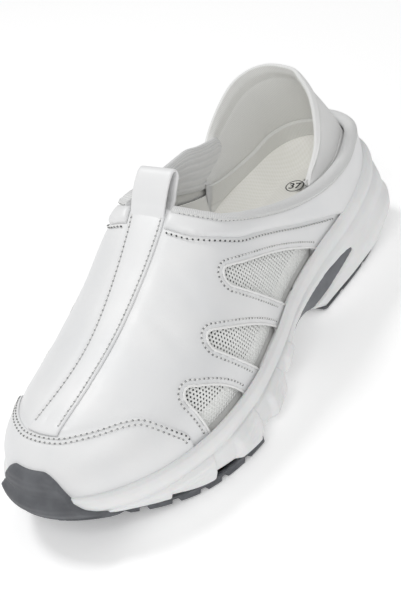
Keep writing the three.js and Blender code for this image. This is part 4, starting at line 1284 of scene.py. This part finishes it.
def heel_collar():
    """Soft heel collar: cloth outside, knit lining inside, and a rolled, stuffed top edge."""
    across = 150
    t = np.linspace(-1, 1, across)
    s = np.concatenate([np.linspace(0, 0.3, 8), np.linspace(0.315, 0.375, 9), np.linspace(0.4, 0.85, 16),
                        np.linspace(0.865, 1, 18)])
    middle = collar_point(t[:, None], s[None, :])
    normal = np.repeat(collar_normal(t)[:, None, :], len(s), 1)
    up = unit(np.gradient(middle, axis=1))
    normal = unit(normal - up * (normal * up).sum(-1, keepdims=True))
    # Half its thickness: full at the rolled edge, and drawn in by a seam under the roll and one at the topline
    half = COLLAR_THICKNESS / 2 * (0.5 + 0.15 * np.sin(math.pi * np.clip(s / 0.85, 0, 1)))
    half = half + 0.95 * np.exp(-((s - 0.962) / 0.038) ** 2)
    seam_dip = 0.25 * np.exp(-((s - 0.89) / 0.014) ** 2) + 0.55 * np.exp(-((s - 0.345) / 0.013) ** 2)
    waves = 0.35 * np.sin(t * 7.0)[:, None] * np.sin(math.pi * np.clip((s - 0.3) / 0.6, 0, 1))[None, :]
    wide = (half - seam_dip)[None, :, None]
    face_out = middle + normal * (wide + waves[..., None])
    # Under the topline the lining stands further in
    ledge = 1.2 * smooth((0.35 - s) / 0.012)[None, :, None]
    face_in = middle - normal * (wide - waves[..., None] + ledge)
    row, around_u = collar_station(t)
    # Under the topline the lining goes on down the wall
    lining = []
    for share in (0.25, 0.5, 0.75, 1.0):
        drop = COLLAR_TUCK + share * 11.0
        lining.append(surface(around_u, topline_level(row, drop), np.full(across, -4.9 + 1.1 * share)))
    lining = np.stack(lining, 1)
    back = lining[:, ::-1] + collar_normal(t)[:, None, :] * 1.2
    turns = np.linspace(0, math.pi, 9)[1:-1]
    top, top_up, top_normal = middle[:, -1], up[:, -1], normal[:, -1]
    radius = half[-1]
    roll = [(top_normal * math.cos(a) + top_up * math.sin(a)) * radius for a in turns]
    cap = np.stack([top + out for out in roll], 1)
    loops = np.concatenate([back, face_out, cap, face_in[:, ::-1], lining], 1)
    width = loops.shape[1]
    obj = swept("heel_collar_cloth", loops, [SOFT_CLOTH, LINING])

    def is_lining(polygon):
        """Knit behind the rolled edge, cloth before it and on the two ends."""
        first, last = min(polygon.vertices), max(polygon.vertices)
        return last < across * width and first % width >= len(s) + 9

    lined = [int(is_lining(polygon)) for polygon in obj.data.polygons]
    obj.data.polygons.foreach_set("material_index", lined)
    with_cloth_uv(obj, width, arc_length(middle[:, 20]), arc_length(loops[across // 2]))
    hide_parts("heel_collar")
    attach(obj, "root")
    return obj


def loop_spine():
    """Side profile of the pull loop's middle, from its outer leg over the top to its inner leg."""
    top = float(ridge_height(THROAT_X))
    outside, inside = 0.05, -UPPER_WALL - GAP - LOOP_THICKNESS / 2
    outer_leg = [(x, float(ridge_height(THROAT_X + x)) - top + outside) for x in (LOOP_LAP, LOOP_LAP / 2)]
    inner_leg = [(x, float(ridge_height(THROAT_X + x)) - top + inside) for x in (LOOP_LAP / 2, LOOP_LAP)]
    free = [(0.8, 1.0), (-1.5, 3.2), (-6, LOOP_RISE * 0.68), (-LOOP_LEAN + 1.5, LOOP_RISE - 0.3),
            (-LOOP_LEAN - 1.3, LOOP_RISE - 0.2), (-LOOP_LEAN - 1.8, LOOP_RISE * 0.72),
            (-LOOP_LEAN * 0.85, LOOP_RISE * 0.34), (-7.5, 0.2), (-3.5, -2.0)]
    return smooth_curve([*outer_leg, *free, *inner_leg], 90) + (THROAT_X, top)


def pull_loop():
    """A strip of leather folded into a loop, sewn on and under the throat."""
    spine = loop_spine()
    run = unit(np.gradient(spine, axis=0))
    side = np.stack([-run[:, 1], run[:, 0]], 1)
    low, high = strip_edges(np.clip(spine[:, 0], THROAT_X - 2, THROAT_X + 12))
    middle, wide = (low + high) / 2, (high - low) / 2 - 0.2
    half = LOOP_THICKNESS / 2 - 0.25
    quarter = [(0.0, 1.0), (0.5, 1.0), (0.8, 1.0), (0.93, 0.95), (0.985, 0.6)]
    right_half = [*quarter, (1.0, 0.0), *[(a, -b) for a, b in quarter[:0:-1]]]
    section = [*right_half, *[(-a, -b) for a, b in right_half]]
    on_leg = np.clip((spine[:, 0] - THROAT_X + 3) / 6, 0, 1)
    loops = []
    for n, (x, z) in enumerate(spine):
        ring = []
        for across, thick in section:
            y = middle[n] + across * wide[n]
            drop = leg_drop(x, y) * on_leg[n]
            ring.append((x + side[n][0] * thick * half, y, z + side[n][1] * thick * half - drop))
        loops.append(ring)
    loops = np.array(loops)
    obj = swept("pull_loop_leather", loops, [LEATHER])
    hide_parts("pull_loop")
    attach(obj, "root")
    return obj


def leg_drop(x, y):
    """How far the vamp falls away beside its ridge at x."""
    v = np.linspace(0.6, 1, 50)
    u0 = float(station(x, 1 if y > 0 else -1))
    line = last_point(np.full(50, u0), v)
    ridge = float(ridge_height(x))
    side = np.abs(line[:, 1])
    return ridge - float(np.interp(abs(y), side[::-1], line[::-1, 2]))


# Sole

# The sole's side from its lower edge to the rim: low: share of the way to the groove under the band; band:
# of the band's height under the rim; bulge: share of the flare; step: mm of step outwards
PROFILE = table(
    "low band bulge step",
    (0, 1.35, 0.1, -1.1),
    (0.12, 1.35, 0.55, 0),
    (0.36, 1.35, 1, 0),
    (0.66, 1.35, 0.9, 0),
    (0.88, 1.35, 0.6, -0.25),
    (1, 1.35, 0.4, -1.25),
    (1, 1, 0.35, 0.3),
    (1, 0.55, 0.2, 1.1),
    (1, 0.15, 0.05, 0.75),
    (1, 0, 0, -0.4),
)
PROFILE_KEYS = np.arange(10, dtype=float)

# Lobes of the side: x of the tip and of the rear edge's foot, x of the front edge's head and foot, and mm of
# relief
LOBES = [
    (199.5, 202.0, 240.0, 240.0, 1.9),
    (171.0, 175.0, 188.5, 192.0, 2.5),
    (146.5, 149.0, 163.0, 165.5, 2.5),
    (132.0, 124.0, 140.5, 144.0, 2.0),
]
NOTCHES = [(220.7, 203.0), (201.3, 178.0), (175.8, 151.0), (147.5, 126.0)]


def sole_rise(x):
    """Rise of the underside over the floor: bevelled heel, arch and toe spring."""
    share = x / SOLE_LENGTH
    bevel = np.clip((0.055 - share) / 0.055, 0, 1.5) ** 2 * HEEL_BEVEL
    toe = np.clip((share - 0.79) / 0.21, 0, 1.2) ** 1.7 * TOE_SPRING
    arch = np.clip((share - 0.315) / 0.31, 0, 1)
    return bevel + toe + ARCH_HEIGHT * np.maximum(np.sin(math.pi * arch**0.75), 0) ** 1.3


def foam_edge(x):
    """Height of the foam's lower edge: low at the heel and beside the ball, where little rubber shows."""
    return OUTSOLE + sole_rise(x) - 0.4 - 2.1 * smooth((0.42 * SOLE_LENGTH - x) / 30)


def notch_rise(x):
    """How far the side's lower edge steps up behind each notch."""
    total = np.zeros_like(x)
    for front, rear in NOTCHES:
        place = (front - x) / (front - rear)
        total += np.where((place > 0) & (place < 1), 2.6 * np.clip(1 - place, 0, 1) ** 1.3, 0)
    return total


def lobe_relief(x, z, band_bottom):
    """Relief of the flame-shaped lobes of the side, in mm outwards."""
    # The foam lies back between the lobes, and each lobe has three fine ribs
    total = -0.7 * smooth((238 - x) / 30) * smooth((x - 112) / 12) * smooth((band_bottom - 1 - z) / 3)
    for tip, rear_foot, head, front_foot, depth in LOBES:
        ridge = band_bottom - 0.3 - 3.0 * np.clip((x - tip) / (head - tip), 0, 1.3)
        down = np.clip(1 - z / np.maximum(band_bottom, 1), 0, 1)
        rear = tip + (rear_foot - tip) * down
        front = head + (front_foot - head) * down
        slope = 3.0 if head < 230 else 34.0
        body = smooth((front - x) / slope) * smooth((x - rear) / 1.5) * smooth((ridge - z) / 2.6)
        under = ridge - z
        ribs = sum(np.exp(-((under - at) / 0.55) ** 2) for at in (4.2, 6.6, 9.0))
        ends = smooth((front - 3 - x) / 6) * smooth((x - rear - 2) / 5)
        total = total + depth * body - 0.4 * ribs * ends
    return total


def heel_relief(x, z, rim):
    """A ridge round the heel that runs down to the tip of the arch plate."""
    crest = 25.5 - 9.0 * smooth((x - 22) / 40)
    fade = smooth((64 - x) / 16)
    lower = 15.0 - 4.0 * smooth((x - 30) / 30)
    high = smooth((crest - z) / 3.2) * smooth((z - lower + 3) / 6)
    return (1.3 * high - 0.5 * np.exp(-((z - crest - 2.2) / 1.6) ** 2)) * fade


def plate_region(grow=0.0):
    outline = PLATE * (SOLE_LENGTH, RIM_HEIGHT)
    return region(widened(outline, grow) if grow else outline, "side")


def sole_side(u, q, lift=0.0, bare=False):
    """Point of the sole's outside: q from 0 at the lower edge to 1 at the rim."""
    u, q = np.broadcast_arrays(np.asarray(u, float), np.asarray(q, float))
    row = q * 9
    low, band = (np.interp(row, PROFILE_KEYS, PROFILE[name]) for name in ("low", "band"))
    bulge, step = (open_spline(PROFILE_KEYS, PROFILE[name], row) for name in ("bulge", "step"))
    base = feather(u)
    x, rim = base[..., 0], column("rim", u)
    floor = foam_edge(x)
    groove = rim - BAND_HEIGHT * 1.35
    edge = floor if bare else floor + notch_rise(x)
    z = np.where(row <= 5, edge + (groove - edge) * low, rim - BAND_HEIGHT * band)
    foot = column("foot", u)
    out = foot + (RIM_LIP - foot) * low + column("flare", u) * bulge + step
    if not bare:
        shape = smooth(row / 0.8) * smooth((5.3 - row) / 1.0)
        out = out + lobe_relief(x, z, rim - BAND_HEIGHT) * shape + heel_relief(x, z, rim) * shape
        place = base.copy()
        place[..., 2] = z
        # A recess for the arch plate
        out = out - 1.6 * smooth(plate_region()(place) / 0.9)
    point = base + outward(u) * (out + lift)[..., None]
    point[..., 2] = z
    return point


def ladder(count, start, last, flip=False):
    """Faces across a ring from one side of the shoe to the other, where k lies across from last - k."""
    faces = []
    for k in range(count // 2):
        ring = list(dict.fromkeys([k, k + 1, (last - k - 1) % count, (last - k) % count]))
        if len(ring) > 2:
            faces.append([start + n for n in (reversed(ring) if flip else ring)])
    return faces


def ring_solid(name, rings, materials, whole=True):
    """A closed solid through rings from below to above; rings that aren't whole end in a face across."""
    rings = np.asarray(rings)
    rows, count = rings.shape[:2]
    last = count if whole else count - 1
    faces = grid_faces(rows, count, False, whole).tolist()
    faces += ladder(count, 0, last) + ladder(count, (rows - 1) * count, last, True)
    if not whole:
        starts = [row * count for row in range(rows)]
        faces.append(starts + [start + count - 1 for start in reversed(starts)])
    return fix_normals(piece(name, rings.reshape(-1, 3), faces, materials))


def even_turns(count):
    """Stations round the last, the same on both sides."""
    return np.linspace(0, LOOP, count, endpoint=False)


def midsole():
    """One moulded foam midsole: rounded band under the upper, groove, lobes, and a cupped top."""
    u = even_turns(960)
    x = column("x", u)
    floor = foam_edge(x)
    # The underside stays back from the edge, where the rubber lies
    rings = []
    for inboard in (9.0, 3.2):
        ring = sole_side(u, 0.0, -inboard)
        ring[:, 2] = floor
        rings.append(ring)
    q = np.concatenate([np.linspace(0, 5, 46), np.linspace(5, 9, 22)[1:]]) / 9
    rings += [sole_side(u, value) for value in q]
    # Over the rim and down to the footbed
    base, side = feather(u), outward(u)
    for out, drop in ((RIM_LIP - 1.1, 0.35), (1.1, 0.3), (GAP + 0.3, -0.1), (GAP + 0.1, -1.5)):
        ring = base + side * out
        ring[:, 2] = base[:, 2] + drop - 0.3
        rings.append(ring)
    ring = base + side * GAP
    ring[:, 2] = column("bed", u)
    rings.append(ring)
    obj = ring_solid("moulded_foam_midsole", rings, [FOAM])
    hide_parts("midsole")
    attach(obj, "root")
    return obj


def arch_plate():
    """Plate let into the side of the arch, on both sides."""
    parts = []
    for side in SIDES:
        u = np.linspace(2.9, 6.4, 190)
        u = u if side > 0 else LOOP - u
        grid_u, grid_q = np.meshgrid(u, np.linspace(-0.02, 0.62, 60), indexing="ij")
        at = sole_side(grid_u, np.maximum(grid_q, 0), bare=True)
        at[..., 2] += np.minimum(grid_q, 0) * 60
        value = plate_region(0.1)(at).ravel()
        quads = grid_faces(*grid_u.shape)
        kept = quads[(value[quads] > 0).all(1)]
        used, back = np.unique(kept, return_inverse=True)
        flat_u, flat_q = grid_u.ravel()[used], np.maximum(grid_q.ravel()[used], 0)
        outer = sole_side(flat_u, flat_q, -1.5 + 0.7 * smooth(value[used] / 1.2), bare=True)
        inner = sole_side(flat_u, flat_q, -3.6, bare=True)
        parts.append(layer(f"plate_{side}", outer, inner, back.reshape(-1, 4).tolist(), [PLATE_PLASTIC]))
    obj = joined(parts, "moulded_arch_plate")
    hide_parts("arch_plate")
    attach(obj, "root")
    return obj


def bumper_top(u):
    """Height of the rubber's upper edge at the toe, by the distance from the tip."""
    tip = float(column("ry", np.array([float(ROWS)]))[0])
    y = np.abs(column("y", u) - tip)
    return open_spline(BUMPER[:, 0] * BALL_WIDTH, BUMPER[:, 1] * BUMPER_HEIGHT, y)


def tread_groove(x, shares, half=1.5, soft=0.35):
    """1 inside a groove across the tread, 0 outside it."""
    return np.maximum.reduce([smooth((half + soft - np.abs(x - share * SOLE_LENGTH)) / (2 * soft))
                              for share in shares])


def rubber_front():
    """Front rubber: tread with its grooves, a side wall up to the foam, and the bumper over the toe."""
    start = float(station(0.67 * SOLE_LENGTH))
    u = np.linspace(start, LOOP - start, 801)
    x = column("x", u)
    groove = tread_groove(x, (0.895, 0.848, 0.803, 0.765, 0.715))
    base, side = feather(u), outward(u)
    tip_share = smooth((x - 0.86 * SOLE_LENGTH) / 8)
    wall_top = foam_edge(x) - 0.15
    top = np.maximum(wall_top, bumper_top(u) * tip_share)
    above = np.clip((top - wall_top) / 6, 0, 1)
    bottom = sole_rise(x) + 1.9 * groove
    foot = sole_side(u, 0.0, 0.0, bare=True)
    out_foot = ((foot - base) * side).sum(1)
    rings = []
    for inboard, lift, rounding in ((12.0, 0.0, 0.0), (5.2, 0.0, 0.5), (2.4, 0.0, 1.7), (1.2, 0.15, 2.6)):
        ring = base + side * (out_foot + 0.3 - inboard)[:, None]
        ring[:, 2] = bottom + lift + rounding * above
        rings.append(ring)
    # The wall follows the foam's side, and over it the leather of the toe
    levels = np.concatenate([[0.0], np.linspace(0.04, 1, 40)])
    sample_q = np.linspace(0, 1, 120)
    walls = sole_side(u[:, None], sample_q[None, :], 0.0, bare=True)
    wall_out = ((walls - base[:, None, :]) * side[:, None, :]).sum(2)
    upper_v = np.linspace(0, 0.6, 50)
    skin = surface(u[:, None], upper_v[None, :], np.full((len(u), 50), CAP_TOP + 0.25))
    skin_out = ((skin - base[:, None, :]) * side[:, None, :]).sum(2)
    outer, inner = [], []
    for level in levels:
        low = bottom + 0.5 + 3.2 * above
        z = low + (top - low) * level
        out = np.array([np.interp(z[k], np.concatenate([walls[k, :, 2], skin[k, 2:, 2] + 0.6]),
                                  np.concatenate([wall_out[k], skin_out[k, 2:]])) for k in range(len(u))])
        out = np.where(level == 0, out_foot, out)
        thick = 0.35 + 0.9 * (1 - above) + 1.75 * above * smooth((top - z) / 1.6) ** 0.5 * smooth(level / 0.1)
        thick = np.where(above > 0.02, np.maximum(thick, 0.5 * above), thick)
        ring = base + side * (out + thick)[:, None]
        ring[:, 2] = z
        outer.append(ring)
        hidden = base + side * (out - 1.2)[:, None]
        hidden[:, 2] = z - 0.3
        inner.append(hidden)
    rings += [*outer, inner[-1], inner[0]]
    obj = ring_solid("moulded_rubber_front", rings, [RUBBER], whole=False)
    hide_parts("outsole_front")
    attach(obj, "root")
    return obj


def rubber_heel():
    """Heel rubber: tread with its grooves and a low edge under the foam."""
    stop = float(station(0.325 * SOLE_LENGTH))
    u = np.linspace(-stop, stop, 401)
    x = column("x", u)
    groove = tread_groove(x, (0.07, 0.168, 0.26))
    base, side = feather(u % LOOP), outward(u % LOOP)
    foot = sole_side(u % LOOP, 0.0, 0.0, bare=True)
    out_foot = ((foot - base) * side).sum(1)
    bottom = sole_rise(x) + 0.9 * groove
    top = foam_edge(x) - 0.1
    rings = []
    for out, z in ((-9.0, bottom), (0.1, bottom), (0.65, bottom + 0.35), (0.8, (bottom + top) / 2),
                   (0.65, top - 0.25), (0.2, top), (-9.0, top)):
        ring = base + side * (out_foot + out)[:, None]
        ring[:, 2] = z
        rings.append(ring)
    obj = ring_solid("moulded_rubber_heel", rings, [RUBBER], whole=False)
    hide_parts("outsole_heel")
    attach(obj, "root")
    return obj


# Insole

def insole():
    """Cupped insole with a soft cloth face."""
    u = even_turns(360)
    base, side = feather(u), outward(u)
    bed = column("bed", u) + GAP
    flat = float(SOLE["bed"][8])
    cup = INSOLE_CUP * np.clip((column("cup", u) - flat) / (1 - flat), 0, 1)
    edge = -(UPPER_WALL + 0.8 + 2 * GAP)
    # Inset from the edge, share of the thickness and share of the cup's height
    rows = [(0.4, 0, 0), (0, 0.3, 0), (0, 0.7, 0.8), (0.35, 0.95, 0.97), (1.2, 1, 1)]
    for t in np.linspace(0, 1, 12)[1:]:
        rows.append((1.2 + 12.8 * t, 1, 1 - smooth(t)))
    rows += [(20.0, 0.98, 0), (26.0, 0.98, 0)]
    rings = []
    for inset, thick, raised in rows:
        ring = base + side * (edge - inset)
        ring[:, 2] = bed + INSOLE * thick + cup * raised
        rings.append(ring)
    obj = ring_solid("cloth_insole", rings, [INSOLE_CLOTH])
    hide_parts("insole")
    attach(obj, "root")
    return obj


def size_mark(insole_obj):
    """A plain size number in a ring, printed on the insole under the heel."""
    # Middle of the mark, and the way that its lines and its letters' heads point
    x, y = 37.7, -4.3
    across, up = np.array([-0.3, 0.954, 0]), np.array([-0.954, -0.3, 0])
    letters = bpy.data.curves.new("size_letters", "FONT")
    letters.body = "37"
    letters.size = 6.6
    letters.extrude = 0.03
    letters.offset = 0.1
    letters.align_x = "CENTER"
    letters.align_y = "CENTER"
    source = bpy.data.objects.new("size_letters", letters)
    flat = bpy.data.meshes.new_from_object(source)
    corners = np.array([vertex.co[:] for vertex in flat.vertices])
    faces = [list(polygon.vertices) for polygon in flat.polygons]
    bpy.data.objects.remove(source)
    turns = np.linspace(0, 2 * math.pi, 64, endpoint=False)
    ring = []
    for radius, lift in ((4.3, -0.03), (4.3, 0.03), (4.8, 0.03), (4.8, -0.03)):
        ring.append(np.stack([radius * np.cos(turns), radius * np.sin(turns), np.full(64, lift)], 1))
    ring = np.stack(ring, 1).reshape(-1, 3)
    ring_faces = (grid_faces(64, 4, True, True) + len(corners)).tolist()
    points = np.concatenate([corners, ring])
    points = (x, y, 0.06) + points[:, :1] * across + points[:, 1:2] * up + points[:, 2:] * (0, 0, 1)
    for point in points:
        above = Vector(to_frame([point[0], point[1], 80.0]))
        point[2] += insole_obj.ray_cast(above, Vector((0, 0, -1)))[1].z / MM
    obj = fix_normals(piece("printed_size_mark", points, faces + ring_faces, [INK], smooth=False))
    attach(obj, "root")
    return obj


# Put together

upper_shell()
toe_cap()
vamp_strip()
collar_band()
window_rims()
for one_side in SIDES:
    mesh_panel(one_side)
    backing(one_side)
topline_tape()
heel_collar()
pull_loop()
midsole()
arch_plate()
rubber_front()
rubber_heel()
size_mark(insole())
for thread in sewing.make("upper", 2.3, THREAD, PAINTED_HOLE_SHADE):
    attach(thread, "root")


# Floor, light and camera

def floor_material():
    """Matt white board."""
    material, tree, shader = new_material("white_board", roughness=0.9)
    shader.inputs["Base Color"].default_value = linear("#FBFBFB")
    shader.inputs["Emission Color"].default_value = linear("#FFFFFF")
    shader.inputs["Emission Strength"].default_value = 0.22
    return material


floor_mesh = bpy.data.meshes.new("floor")
FLOOR_HALF = 4.0
corners = [(a * FLOOR_HALF, b * FLOOR_HALF, 0) for a, b in ((-1, -1), (1, -1), (1, 1), (-1, 1))]
floor_mesh.from_pydata(corners, [], [(0, 1, 2, 3)])
floor_mesh.materials.append(floor_material())
floor = bpy.data.objects.new("floor", floor_mesh)
bpy.context.scene.collection.objects.link(floor)

world = bpy.data.worlds.new("studio")
bpy.context.scene.world = world
world.use_nodes = True
world.node_tree.nodes["Background"].inputs["Color"].default_value = linear("#FFFFFF")
world.node_tree.nodes["Background"].inputs["Strength"].default_value = 0.42
bpy.context.scene.view_settings.view_transform = "Standard"


def soft_box(name, place, aim, size, power):
    """A square soft box at a place, turned to what it lights."""
    light = bpy.data.lights.new(name, "AREA")
    light.size = size
    light.energy = power
    obj = bpy.data.objects.new(name, light)
    obj.location = place
    obj.rotation_euler = (Vector(aim) - Vector(place)).to_track_quat("-Z", "Y").to_euler()
    bpy.context.scene.collection.objects.link(obj)


SHOE_MIDDLE = (0.0, 0.0, 0.05)
soft_box("key_light", (0.85, 0.5, 1.15), SHOE_MIDDLE, 0.7, 6.2)
soft_box("side_light", (0.0, -0.62, 1.2), SHOE_MIDDLE, 0.3, 5.4)

# The photograph's camera, fitted to the shoe's outline: its lens, directions and place
camera_data = bpy.data.cameras.new("camera")
camera_data.lens = 71.66
camera_data.sensor_width = 36.0
camera = bpy.data.objects.new("camera", camera_data)
right, down, forward = ((-0.541, 0.806, -0.241), (0.580, 0.149, -0.801), (-0.609, -0.573, -0.548))
camera.matrix_world = Matrix((
    (right[0], -down[0], -forward[0], (461.2 - MIDDLE[0]) * MM),
    (right[1], -down[1], -forward[1], (309.2 - MIDDLE[1]) * MM),
    (right[2], -down[2], -forward[2], 331.9 * MM),
    (0, 0, 0, 1),
))
bpy.context.scene.collection.objects.link(camera)
bpy.context.scene.camera = camera
